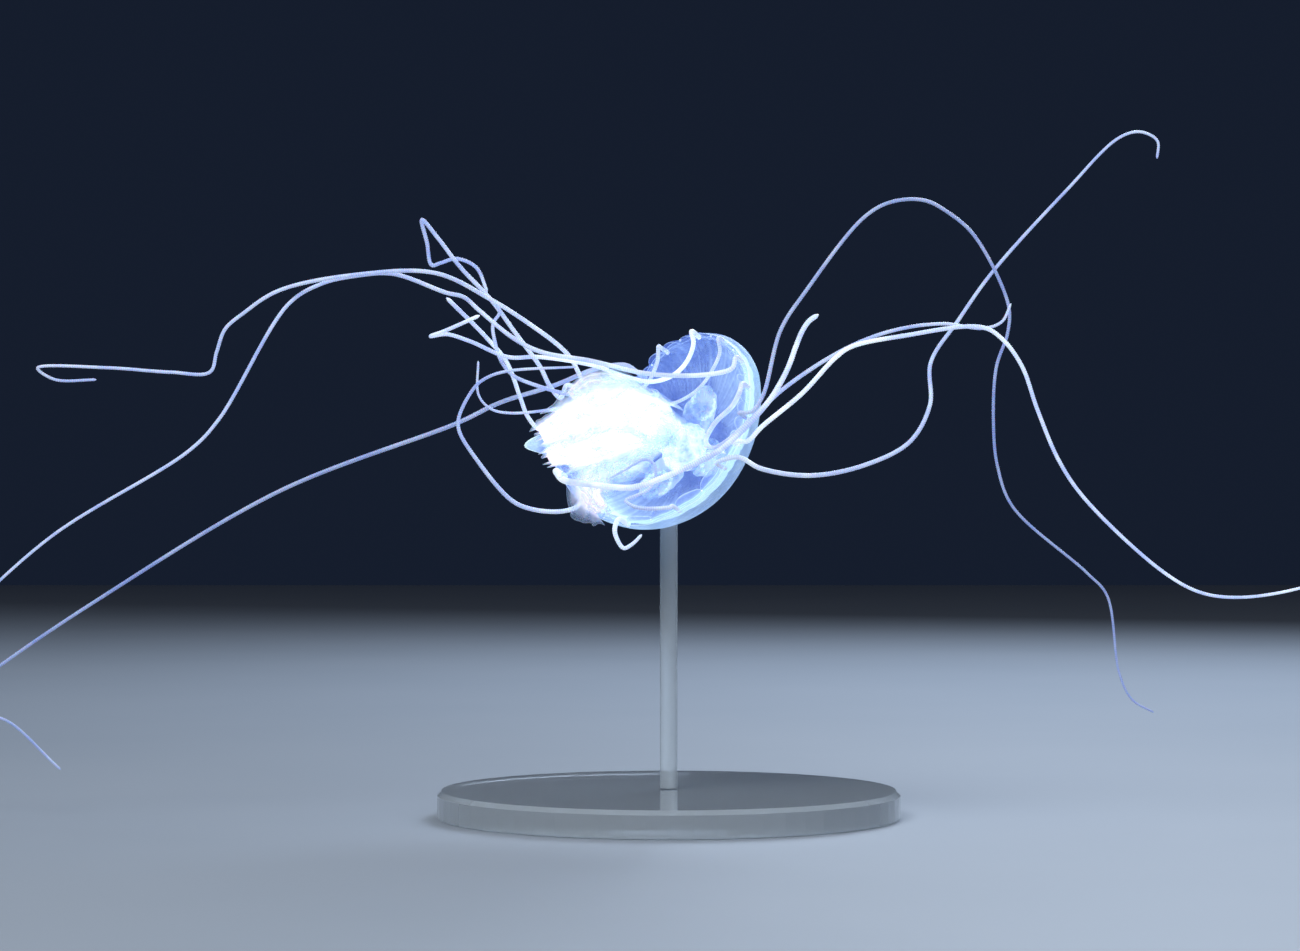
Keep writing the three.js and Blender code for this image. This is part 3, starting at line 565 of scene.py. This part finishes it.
def tissue_finish(name):
    """Milky tissue: the arms, the manubrium and the pouches. A frill thins out to its edge and
    blushes towards the arm's tip."""
    thin, pale, painted_glow, (least, most) = TISSUES[name]
    finish = Finish(name, Roughness=0.55, IOR=1.36, Coat_Weight=0.12, Coat_Roughness=0.25,
                    Subsurface_Weight=0.4, Subsurface_Scale=1.5 * MM)
    place = finish.add("ShaderNodeTexCoord")
    grain = finish.group(TISSUE_GRAIN, Place=place.outputs["Object"], Cloud_Scale=230,
                         Grain_Scale=1500)
    dense = finish.ramp(grain.outputs["Cloud"], (0.3, 0), (0.6, 1))
    if "frill" in name:
        parts = finish.add("ShaderNodeSeparateXYZ")
        finish.join(place.outputs["UV"], parts.inputs[0])
        thick = finish.ramp(parts.outputs["Y"], (0.15, 1), (0.6, 0.4), (0.96, 0.06), (1.0, 0.3))
        thick = finish.math("MULTIPLY", thick, finish.ramp(parts.outputs["X"], (0, 0.3), (0.3, 1)))
        dense = finish.math("MULTIPLY", finish.math("MULTIPLY_ADD", dense, 0.35, 0.65), thick)
        pale = finish.mix(finish.ramp(parts.outputs["X"], (0.55, 0), (1.0, 1)), pale, TIP_BLUSH)
    # Painted glow: the tissue's colour is also emitted, in place of the light shining through it.
    finish.paint_glow(finish.mix(dense, thin, pale), painted_glow)
    finish.to_shader(finish.math("MULTIPLY_ADD", dense, most - least, least), "Alpha")
    finish.bump(grain.outputs["Cloud"], strength=0.2, distance=0.08 * MM)
    return finish.material


def tentacle_finish(name):
    """Blue-white strands, palest at the root, with a faint ring at every ridge."""
    painted_glow, whiteness = STRANDS[name]
    finish = Finish(name, Roughness=0.4, IOR=1.36, Coat_Weight=0.25, Coat_Roughness=0.2,
                    Subsurface_Weight=0.3, Subsurface_Scale=0.4 * MM)
    place = finish.add("ShaderNodeTexCoord")
    grain = finish.group(TISSUE_GRAIN, Place=place.outputs["Object"], Cloud_Scale=120,
                         Grain_Scale=2400)
    parts = finish.add("ShaderNodeSeparateXYZ")
    finish.join(place.outputs["UV"], parts.inputs[0])
    turns = finish.math("MULTIPLY", parts.outputs["Y"], 2 * math.pi)
    rings = finish.ramp(finish.math("MULTIPLY_ADD", finish.math("COSINE", turns), 0.5, 0.5),
                        (0.2, 0), (0.8, 1))
    clouds = finish.ramp(grain.outputs["Cloud"], (0.35, 0), (0.65, 1))
    root = finish.ramp(parts.outputs["X"], (0.0, 1), (0.35, 0.7), (0.7, 0.45), (1.0, 0.6))
    pale = finish.math("MULTIPLY_ADD", clouds, 0.3, finish.math("MULTIPLY", root, 0.55))
    pale = finish.math("MULTIPLY_ADD", rings, 0.12, pale)
    pale = finish.math("MULTIPLY", pale, whiteness, clamp=True)
    # Painted glow: the strand's colour is also emitted, in place of the light shining through it.
    finish.paint_glow(finish.mix(pale, STRAND_BLUE, STRAND_WHITE), painted_glow)
    finish.to_shader(finish.math("MULTIPLY_ADD", pale, 0.2, 0.72), "Alpha")
    finish.bump(grain.outputs["Height"], strength=0.2, distance=0.04 * MM)
    return finish.material


def acrylic_finish():
    """Clear acrylic with the faintest dust."""
    finish = Finish("clear_acrylic", IOR=1.49, Transmission_Weight=0.7)
    finish.shader.inputs["Base Color"].default_value = ACRYLIC_TINT
    place = finish.add("ShaderNodeTexCoord")
    grain = finish.group(TISSUE_GRAIN, Place=place.outputs["Object"], Cloud_Scale=25,
                         Grain_Scale=300)
    finish.to_shader(finish.ramp(grain.outputs["Cloud"], (0.4, 0.02), (0.75, 0.07)), "Roughness")
    return finish.material


def floor_finish():
    finish = Finish("pale_floor", Roughness=0.6)
    place = finish.add("ShaderNodeTexCoord")
    grain = finish.group(TISSUE_GRAIN, Place=place.outputs["Object"], Cloud_Scale=6,
                         Grain_Scale=60)
    finish.to_shader(finish.mix(grain.outputs["Cloud"], *FLOOR_GREYS), "Base Color")
    return finish.material


# ---- The bell -------------------------------------------------------------------------------

COLUMNS_PER_LAPPET = 12
LAPPET_ROWS = 10
DOME_ROWS = 52
SEPTUM_HEIGHT = 0.25 * MM  # of the thin ridges on the cavity's wall, between the lappets
SEPTUM_SHARPNESS = 5
LAPPET_BLUNTNESS = 0.6  # at 1 a lappet is as round as half a sine wave, at 0 it is square
LAPPET_WAVER = [(0.12, 2.4, 0)]  # how much longer or shorter the lappets are than each other
LAPPET_ROUNDING = 6
MARGIN_WAVES = [(0.3 * MM, 9, 1), (0.16 * MM, 23, 0)]  # the fine wave of the margin
MARGIN_WAVE_POWER = 6  # it dies out fast up the dome


def lappet_place(angle):
    """An even angle as the real one, with which lappet it is on and where, from 0 to 1."""
    number, place = divmod(angle / 360 * LAPPETS, 1)
    number = int(number) % LAPPETS
    first = TENTACLE_ANGLES[number // 2]
    following = TENTACLE_ANGLES[(number // 2 + 1) % len(TENTACLE_ANGLES)]
    half = ((following - first) % 360) / 2
    return first + half * (number % 2 + place), number, place


def bell_skin(angle, row, is_outer):
    """A place on the skin: an even angle, and the row from 0 at the top to 1 at the edge."""
    angle, number, place = lappet_place(angle)
    dome_share = DOME_ROWS / (DOME_ROWS + LAPPET_ROWS)
    height = BELL_HEIGHT if is_outer else CAVITY_DEPTH
    down = min(row / dome_share, 1) * 90
    spot = dome_place(angle, down, height, 0 if is_outer else -MARGIN_THICKNESS)
    if not is_outer and down > 0:
        near = min(place, 1 - place) * SEPTUM_SHARPNESS
        ridge = SEPTUM_HEIGHT * math.exp(-near ** 2) * math.sin(math.radians(down)) ** 2
        spot *= 1 - ridge / spot.length
    out = max((row - dome_share) / (1 - dome_share), 0)
    if out > 0:
        lobe = max(math.sin(math.pi * place), 0) ** LAPPET_BLUNTNESS
        waver = 1 + wavering(LAPPET_WAVER, number)
        length = CLEFT_DEPTH + (LAPPET_LENGTH * waver - CLEFT_DEPTH) * lobe
        rounded = math.sqrt(max(1 - out ** LAPPET_ROUNDING, 0))
        at, width, reach = STRETCHED_LAPPET
        middle = LAPPET_CURL * out ** 2 - reach * bump_at(angle, at, width) * lobe * out
        half = 0.5 * (MARGIN_THICKNESS + (LAPPET_THICKNESS - MARGIN_THICKNESS) * out) * rounded
        from_axis = math.hypot(spot.x, spot.y)
        edge = dome_place(angle, 90, 0, -MARGIN_THICKNESS / 2)
        wanted = edge.length - middle + (half if is_outer else -half)
        spot.x *= wanted / from_axis
        spot.y *= wanted / from_axis
        spot.z = length * out
    spot.z += wavering(MARGIN_WAVES, math.radians(angle)) * (down / 90) ** MARGIN_WAVE_POWER
    return spot


def bell(material):
    """One closed skin: a sphere whose far half is pushed back in as the cavity's wall."""
    rows = 2 * (DOME_ROWS + LAPPET_ROWS)
    bpy.ops.mesh.primitive_uv_sphere_add(
        segments=LAPPETS * COLUMNS_PER_LAPPET, ring_count=rows, radius=1, location=(0, 0, 0))
    piece = bpy.context.object
    for vertex in piece.data.vertices:
        ball = vertex.co
        angle = math.degrees(math.atan2(ball.y, ball.x)) % 360
        polar = math.degrees(math.atan2(math.hypot(ball.x, ball.y), -ball.z))
        is_outer = polar <= 90 + 1e-4
        row = (polar if is_outer else 180 - polar) / 90
        vertex.co = bell_skin(angle, min(row, 1), is_outer)
    piece.matrix_world = Matrix.Translation(RIM_CENTRE) @ BELL_TURN.to_4x4()
    nodes = ["bell_crown"] + [f"bell_skirt_{quarter}" for quarter in range(1, 5)]
    return finished(piece, "bell_skin", material, nodes)


# ---- Tentacles ------------------------------------------------------------------------------

STATIONS_PER_RING = 3
RIDGE_HEIGHT = 0.05  # of the radius
SKIN_SHARE = 0.9  # the strand's skin lies inside the solid
TAPER = 0.8  # the lower, the longer a strand stays as stout as its root
SMOOTH_FROM = 0.995  # the share of its length at which a strand's ridges end
END_SHARE = 0.3  # of the radius, at the very end
# Painted light and shade: these tentacles get the brighter and the dimmer copy of the one strand
# tissue.
PAINTED_LIT_TENTACLES = (2, 7, 12, 13, 15)
PAINTED_SHADED_TENTACLES = (3, 9)


def tentacle(index, material):
    stout, tip, lengths, way = TENTACLES[index]
    tip *= MM
    edge = dome_place(TENTACLE_ANGLES[index], 90, 0, -MARGIN_THICKNESS / 2)
    points = [in_bell(edge.x, edge.y, -ROOT_SUNK), in_bell(edge.x, edge.y, ROOT_STRAIGHT)]
    points += [from_rim(*point) for point in way]
    spacing = RING_SPACING / STATIONS_PER_RING
    places, total = smooth_curve(points, spacing)
    radii = []
    for number in range(len(places)):
        share = number / (len(places) - 1)
        radius = tip + (ROOT_RADIUS * stout - tip) * (1 - share) ** TAPER
        ridge = math.cos(2 * math.pi * number / STATIONS_PER_RING)
        radius *= SKIN_SHARE + RIDGE_HEIGHT * (ridge if share < SMOOTH_FROM else 0)
        radii.append(radius * min(1, END_SHARE + (1 - share) * total / (2 * tip)))
    piece = strand(places, radii, spacing)
    number = f"{index + 1:02d}"
    nodes = [f"tentacle_{number}_{name}" for name in lengths]
    return finished(piece, f"tentacle_{number}", material, nodes)


# ---- Manubrium and pouches ------------------------------------------------------------------

MANUBRIUM_COLUMNS = 192
MANUBRIUM_ROWS = 48
MANUBRIUM_GAP = 0.4 * MM  # to the cavity's roof
MANUBRIUM_WALL = 0.5 * MM
WAIST_AT = 0.45  # the share of its length from the roof
CORNER_DEPTH = 0.16  # of the radius, at the mouth
LIP_FOLD_DEPTH = 0.05  # of the radius, at the mouth
WRINKLE_DEPTH = 0.12 * MM

POUCH_SPACING = 0.12 * MM
POUCH_STEPS = 16
POUCH_END_SHARE = 0.34  # of the tube's radius, at the horseshoe's ends
POUCH_SWELLING = 0.22  # of it too, and what the horseshoe's middle has more
POUCH_WAVE = 0.18 * MM  # how far its tissue winds to both sides
POUCH_WINDING = 60  # how far that turns from end to end, in radians
POUCH_LUMP = 0.55 * MM  # from one lump of it to the next
LUMP_HEIGHT = 0.2  # of the radius
POUCH_FLOOR_RADIUS = 1.28 * POUCH_RADIUS
POUCH_REACH = 0.9  # how much further its floor reaches towards the manubrium
PLEAT_HEIGHT = 0.1 * MM
FLOOR_HALF_THICKNESS = 0.12 * MM


def manubrium(material):
    """The stomach's stalk: a four-cornered tube with a folded lip."""
    bpy.ops.mesh.primitive_cylinder_add(vertices=MANUBRIUM_COLUMNS, radius=1, depth=2,
                                        location=(0, 0, 0), end_fill_type="NOTHING")
    piece = bpy.context.object
    bpy.ops.object.mode_set(mode="EDIT")
    bpy.ops.mesh.select_mode(type="EDGE")
    bpy.ops.mesh.select_all(action="DESELECT")
    bpy.ops.object.mode_set(mode="OBJECT")
    for edge in piece.data.edges:
        one, other = (piece.data.vertices[number].co for number in edge.vertices)
        edge.select = abs(one.z - other.z) > 1
    bpy.ops.object.mode_set(mode="EDIT")
    bpy.ops.mesh.subdivide(number_cuts=MANUBRIUM_ROWS - 1)
    bpy.ops.mesh.select_mode(type="VERT")
    bpy.ops.object.mode_set(mode="OBJECT")
    top, bottom = -CAVITY_DEPTH + MANUBRIUM_GAP, -MOUTH_DEPTH
    for vertex in piece.data.vertices:
        share = (vertex.co.z + 1) / 2
        angle = math.atan2(vertex.co.y, vertex.co.x)
        if share < WAIST_AT:
            narrowed = math.sin(share / WAIST_AT * math.pi / 2)
            radius = MANUBRIUM_BASE_RADIUS + (
                MANUBRIUM_WAIST_RADIUS - MANUBRIUM_BASE_RADIUS) * narrowed
        else:
            widened = ((share - WAIST_AT) / (1 - WAIST_AT)) ** 2
            radius = MANUBRIUM_WAIST_RADIUS + (MOUTH_RADIUS - MANUBRIUM_WAIST_RADIUS) * widened
        folds = LIP_FOLD_DEPTH * math.sin(14 * angle) - CORNER_DEPTH * math.cos(4 * angle)
        radius *= 1 + folds * share ** 2
        radius += WRINKLE_DEPTH * math.sin(16 * angle + 9 * share)
        vertex.co = (radius * math.cos(angle), radius * math.sin(angle),
                     top + (bottom - top) * share)
    wall = piece.modifiers.new("wall", "SOLIDIFY")
    wall.thickness = MANUBRIUM_WALL
    wall.offset = -1
    bpy.ops.object.modifier_apply(modifier=wall.name)
    piece.matrix_world = Matrix.Translation(RIM_CENTRE) @ BELL_TURN.to_4x4()
    return finished(piece, "manubrium_wall", material, ("manubrium",))


def on_roof(centre, x, y):
    """A place on the cavity's roof, this far from the middle of a pouch."""
    x += POUCH_FROM_AXIS * math.cos(centre)
    y += POUCH_FROM_AXIS * math.sin(centre)
    share = math.hypot(x, y) / (BELL_RADIUS - MARGIN_THICKNESS)
    return x, y, -CAVITY_DEPTH * math.sqrt(1 - share ** 2) + POUCH_TUBE_RADIUS


def pouch_floor(centre):
    """The thin skin that a pouch's horseshoe goes round, pleated towards its middle. It reaches
    in to the manubrium."""
    bpy.ops.mesh.primitive_uv_sphere_add(segments=64, ring_count=24, radius=1, location=(0, 0, 0))
    piece = bpy.context.object
    for vertex in piece.data.vertices:
        ball = vertex.co
        flat = math.hypot(ball.x, ball.y)
        turned = math.atan2(ball.y, ball.x)
        wide = POUCH_FLOOR_RADIUS * (1 + 0.03 * math.sin(9 * turned))
        wide *= 1 + POUCH_REACH * max(-math.cos(turned - centre), 0) ** 1.5
        x, y, z = on_roof(centre, wide * ball.x, wide * ball.y)
        z += FLOOR_HALF_THICKNESS * ball.z + PLEAT_HEIGHT * flat * math.sin(13 * turned)
        vertex.co = in_bell(x, y, z)
    return piece


def gastric_pouch(index, material):
    """A horseshoe of folded tissue on the cavity's roof."""
    centre = math.radians(FIRST_POUCH + 360 / POUCHES * index)
    half = math.radians(180 - POUCH_OPENING / 2)
    points = []
    for step in range(POUCH_STEPS + 1):
        turned = centre + math.pi + half * (2 * step / POUCH_STEPS - 1)
        points.append(in_bell(*on_roof(centre, POUCH_RADIUS * math.cos(turned),
                                       POUCH_RADIUS * math.sin(turned))))
    places, _ = smooth_curve(points, POUCH_SPACING)
    radii = []
    for number, spot in enumerate(places):
        share = number / (len(places) - 1)
        lump = math.sin(2 * math.pi * number * POUCH_SPACING / POUCH_LUMP)
        stout = POUCH_END_SHARE + POUCH_SWELLING * math.sin(math.pi * share)
        radii.append(POUCH_TUBE_RADIUS * stout * (1 + LUMP_HEIGHT * lump))
        wound = POUCH_WINDING * share
        spot += (ALONG * math.sin(wound) + ACROSS * math.cos(wound)) * POUCH_WAVE
    piece = strand(places, radii, POUCH_SPACING)
    floor = pouch_floor(centre)
    bpy.ops.object.select_all(action="DESELECT")
    floor.select_set(True)
    piece.select_set(True)
    bpy.context.view_layer.objects.active = piece
    bpy.ops.object.join()
    return finished(piece, f"gonad_{index + 1}", material,
                    (f"gastric_pouch_{index + 1}",))


# ---- Oral arms ------------------------------------------------------------------------------

ARM_STATIONS = 400
FRILL_ROWS = 14
FRILL_THICKNESS = 0.16 * MM
RIBBON_ROWS = 12
RIBBON_THICKNESS = 0.7 * MM
RIBBON_HOLLOW = 0.8 * MM  # how far the ribbon's edges stand out of its middle
ARM_OPENS_BY = 0.28  # the share of its length at which an arm has its full width
ARM_NARROWS = 0.5  # the share of its width that an arm has lost at its tip
ROOT_HEIGHT = 0.55  # the share of their height that the curtains have at the arm's root
ARM_CURVE_STEP = 0.04 * MM

# How high the curtains of each arm are, near the mouth and at the tip, against the others.
CURTAIN_HEIGHTS = [(0.6, 1.2), (0.35, 0.6), (0.85, 1.1), (0.45, 1.8)]
TIP_REACHES = [1.5, 1, 1.5, 3.5]  # in millimetres, how far past an arm's end its curtains hang
ARM_TISSUES = ["frill_tissue", "thin_frill_tissue", "frill_tissue", "trailing_frill_tissue"]
# The curtains of an arm: where each hangs on the ribbon from edge to edge, the angle at which
# it leaves the ribbon's face, and its height in millimetres.
CURTAINS = [(-1, -58, 3.0), (-0.35, -14, 3.3), (0.4, 16, 3.1), (1, 60, 3.0)]
# The ruffles: the length of each wave in millimetres, and how far it swings in degrees.
RUFFLES = [(7.1, 26), (3.3, 17), (1.7, 3)]
RUFFLE_PULL = 0.02  # how far a wave sways along the arm, for each millimetre and degree of it
UNEVENNESS = [(1.1, 0.55, 1), (0.35, 1.3, 3)]  # in millimetres, how unevenly the ruffles follow
SCALLOPS = [(0.14, 1.9, 1), (0.08, 4.7, 2)]  # the notches of a curtain's edge
CURTAIN_RISES_BY = 0.06  # the share of its length at which a curtain has its full height
CURTAIN_LOWERS = 0.3  # the share of its height that a curtain has lost at the tip


def arm_frames(index):
    """Places, directions and half widths along an arm's ribbon."""
    start, half_width, way = ARMS[index]
    x = ARM_FROM_AXIS * math.cos(math.radians(start))
    y = ARM_FROM_AXIS * math.sin(math.radians(start))
    points = [in_bell(x, y, -MOUTH_DEPTH - ARM_STRAIGHT), in_bell(x, y, -MOUTH_DEPTH),
              in_bell(x, y, -MOUTH_DEPTH + ARM_STRAIGHT)]
    points += [from_rim(*point) for point in way]
    places, total = smooth_curve(points, ARM_CURVE_STEP)
    frames = []
    for number in range(ARM_STATIONS + 1):
        share = number / ARM_STATIONS
        at = min(int(share * (len(places) - 1)), len(places) - 2)
        tangent = (places[at + 1] - places[at]).normalized()
        face = (Vector((0, -1, 0)) + tangent * tangent.y).normalized()
        face = Matrix.Rotation(ARM_TWIST * (share - 0.5), 3, tangent) @ face
        opened = min(share / ARM_OPENS_BY, 1)
        opened *= opened * (3 - 2 * opened)
        width = ARM_ROOT_HALF_WIDTH + (half_width * MM - ARM_ROOT_HALF_WIDTH) * opened
        width *= 1 - ARM_NARROWS * share ** 4
        frames.append((places[at], tangent, face, tangent.cross(face), width,
                       ROOT_HEIGHT + (1 - ROOT_HEIGHT) * opened))
    return frames, total


def sheet(piece, thickness):
    """Gives a surface two faces and a rim between them."""
    both = piece.modifiers.new("both_faces", "SOLIDIFY")
    both.thickness = thickness
    both.offset = 0
    bpy.ops.object.modifier_apply(modifier=both.name)


def ribbon(frames):
    """The arm's thick middle, slightly hollow."""
    bpy.ops.mesh.primitive_grid_add(x_subdivisions=ARM_STATIONS // 2,
                                    y_subdivisions=RIBBON_ROWS, size=2, location=(0, 0, 0))
    piece = bpy.context.object
    for vertex in piece.data.vertices:
        side = vertex.co.y
        place, _, face, sideways, width, opened = frames[
            round((vertex.co.x + 1) / 2 * ARM_STATIONS)]
        vertex.co = place + sideways * side * width + face * RIBBON_HOLLOW * side ** 2 * opened
    sheet(piece, RIBBON_THICKNESS)
    for loop in piece.data.uv_layers[0].data:
        loop.uv = (loop.uv[0], 0)
    return piece


def curtain(frames, total, hangs_at, leans, near, far, tip, phase):
    """One ruffled sheet that hangs on the ribbon. Its UV map runs from there to its edge."""
    bpy.ops.mesh.primitive_grid_add(x_subdivisions=ARM_STATIONS, y_subdivisions=FRILL_ROWS,
                                    size=2, location=(0, 0, 0))
    piece = bpy.context.object
    for vertex in piece.data.vertices:
        share = (vertex.co.x + 1) / 2
        out = (vertex.co.y + 1) / 2
        place, tangent, face, sideways, width, opened = frames[round(share * ARM_STATIONS)]
        foot = place + sideways * hangs_at * width
        foot += face * RIBBON_HOLLOW * hangs_at ** 2 * opened
        along = share * total / MM
        stretched = along + wavering(UNEVENNESS, along, phase)
        swing = sum(size * math.sin(2 * math.pi * stretched / wave + phase * (number + 1.3))
                    for number, (wave, size) in enumerate(RUFFLES))
        pull = sum(size * wave * math.cos(2 * math.pi * stretched / wave + phase * number)
                   for number, (wave, size) in enumerate(RUFFLES)) * RUFFLE_PULL
        angle = math.radians(leans + swing * out * (1.4 - 0.4 * out))
        reach = (near + (far - near) * share) * MM * opened
        rounded = math.sqrt(min(share / CURTAIN_RISES_BY, 1) * (1 - 0.99 * share ** 8))
        reach *= (1 - CURTAIN_LOWERS * share ** 3) * rounded
        reach *= 1 + wavering(SCALLOPS, along, phase)
        pull = pull * rounded * out + tip * share ** 6
        vertex.co = (foot + (face * math.cos(angle) + sideways * math.sin(angle)) * reach * out
                     + tangent * pull * MM * out)
    sheet(piece, FRILL_THICKNESS)
    return piece


def oral_arm(index, material):
    """The ribbon and its curtains, joined."""
    frames, total = arm_frames(index)
    layers = [ribbon(frames)]
    for number, (hangs_at, leans, height) in enumerate(CURTAINS):
        near, far = (height * share for share in CURTAIN_HEIGHTS[index])
        layers.append(curtain(frames, total, hangs_at, leans, near, far,
                              TIP_REACHES[index] * (1 + 0.4 * math.sin(2.4 * number)),
                              1.7 * index + 2.1 * number))
    bpy.ops.object.select_all(action="DESELECT")
    for layer in layers:
        layer.select_set(True)
    bpy.context.view_layer.objects.active = layers[0]
    bpy.ops.object.join()
    return finished(bpy.context.object, f"oral_arm_frill_{index + 1}", material,
                    (f"oral_arm_{index + 1}",))


# ---- Warts and rhopalia ---------------------------------------------------------------------

WARTS = 420
WART_RADIUS = (0.05 * MM, 0.1 * MM)
WART_SPREAD = 0.8  # of the dome's height, from its top
WART_SUNK = 0.9  # of its radius
RHOPALIUM_RADIUS = 0.26 * MM
RHOPALIUM_OUT = 0.35 * MM  # past the margin


def beads(name, spots, material):
    """Small beads at (place, radius), made as copies of one and joined."""
    bpy.ops.mesh.primitive_ico_sphere_add(subdivisions=2, radius=1, location=(0, 0, 0))
    first = bpy.context.object
    copies = []
    for place, radius in spots:
        copy = bpy.data.objects.new(name, first.data.copy())
        bpy.context.collection.objects.link(copy)
        copy.location = place
        copy.scale = (radius,) * 3
        copies.append(copy)
    bpy.data.objects.remove(first)
    bpy.ops.object.select_all(action="DESELECT")
    for copy in copies:
        copy.select_set(True)
    bpy.context.view_layer.objects.active = copies[0]
    bpy.ops.object.join()
    return finished(bpy.context.object, name, material)


def warts(material):
    spots = []
    for _ in range(WARTS):
        angle = seed.uniform(0, 360)
        down = math.degrees(math.acos(1 - seed.random() * WART_SPREAD))
        spot = dome_place(angle, down, BELL_HEIGHT, 0)
        radius = seed.uniform(*WART_RADIUS)
        spots.append((in_bell(*(spot * (1 - WART_SUNK * radius / spot.length))), radius))
    return beads("bell_warts", spots, material)


def rhopalia(material):
    spots = []
    for index, angle in enumerate(TENTACLE_ANGLES):
        following = TENTACLE_ANGLES[(index + 1) % len(TENTACLE_ANGLES)]
        middle = angle + ((following - angle) % 360) / 2
        spot = dome_place(middle, 90, 0, -MARGIN_THICKNESS / 2)
        spots.append((in_bell(spot.x, spot.y, RHOPALIUM_OUT), RHOPALIUM_RADIUS))
    return beads("rhopalia", spots, material)


# ---- Stand, floor and light -----------------------------------------------------------------

FLOOR_SIZE = 3.4
FLOOR_DROP = 0.2 * MM  # below the stand, so that the two faces don't meet
NIGHT_BLUE = (0.0078, 0.0125, 0.026, 1)
CLEAR_LAYERS = 96  # how many clear skins a ray may pass
# Each light: its name, place, power in watts, size and colour.
LIGHTS = [
    ("key", (-0.35, -0.5, 0.75), 6, 0.5, (0.9, 0.95, 1.0)),
    ("fill", (0.6, -0.45, 0.35), 2, 0.6, (0.8, 0.88, 1.0)),
    ("back", (0.25, 0.65, 0.6), 6, 0.5, (0.7, 0.82, 1.0)),
]


def stand(material):
    for name in ("stand_base", "stand_rod"):
        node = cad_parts[name]
        node.data.materials.clear()
        node.data.materials.append(material)


def add_floor():
    bpy.ops.mesh.primitive_plane_add(size=FLOOR_SIZE, location=(0, 0, -FLOOR_DROP))
    floor = bpy.context.object
    floor.name = "floor"
    floor.data.materials.append(floor_finish())


def add_light(name, place, power, size, colour):
    """A soft square light aimed at the bell."""
    bpy.ops.object.light_add(type="AREA", location=place)
    light = bpy.context.object
    light.name = name
    light.data.energy = power
    light.data.size = size
    light.data.color = colour
    light.rotation_euler = (RIM_CENTRE - light.location).to_track_quat("-Z", "Y").to_euler()


def add_studio():
    world = bpy.data.worlds.new("dim_blue")
    world.use_nodes = True
    background = world.node_tree.nodes["Background"]
    background.inputs["Color"].default_value = NIGHT_BLUE
    bpy.context.scene.world = world
    bpy.context.scene.view_settings.view_transform = "Standard"
    bpy.context.scene.cycles.transparent_max_bounces = CLEAR_LAYERS
    for light in LIGHTS:
        add_light(*light)


# ---- All together ---------------------------------------------------------------------------

add_camera()
add_floor()
add_studio()

jelly = jelly_finish()
tissues = {name: tissue_finish(name) for name in TISSUES}
strands = {name: tentacle_finish(name) for name in STRANDS}

bell(jelly)
warts(tissues["pouch_tissue"])
rhopalia(tissues["stalk_tissue"])
manubrium(tissues["stalk_tissue"])
for number in range(POUCHES):
    gastric_pouch(number, tissues["pouch_tissue"])
for number, kind in enumerate(ARM_TISSUES):
    oral_arm(number, tissues[kind])
for number in range(len(TENTACLES)):
    kind = "pale_strand"
    if number + 1 in PAINTED_LIT_TENTACLES:
        kind = "painted_lit_strand"
    elif number + 1 in PAINTED_SHADED_TENTACLES:
        kind = "painted_shaded_strand"
    tentacle(number, strands[kind])
stand(acrylic_finish())
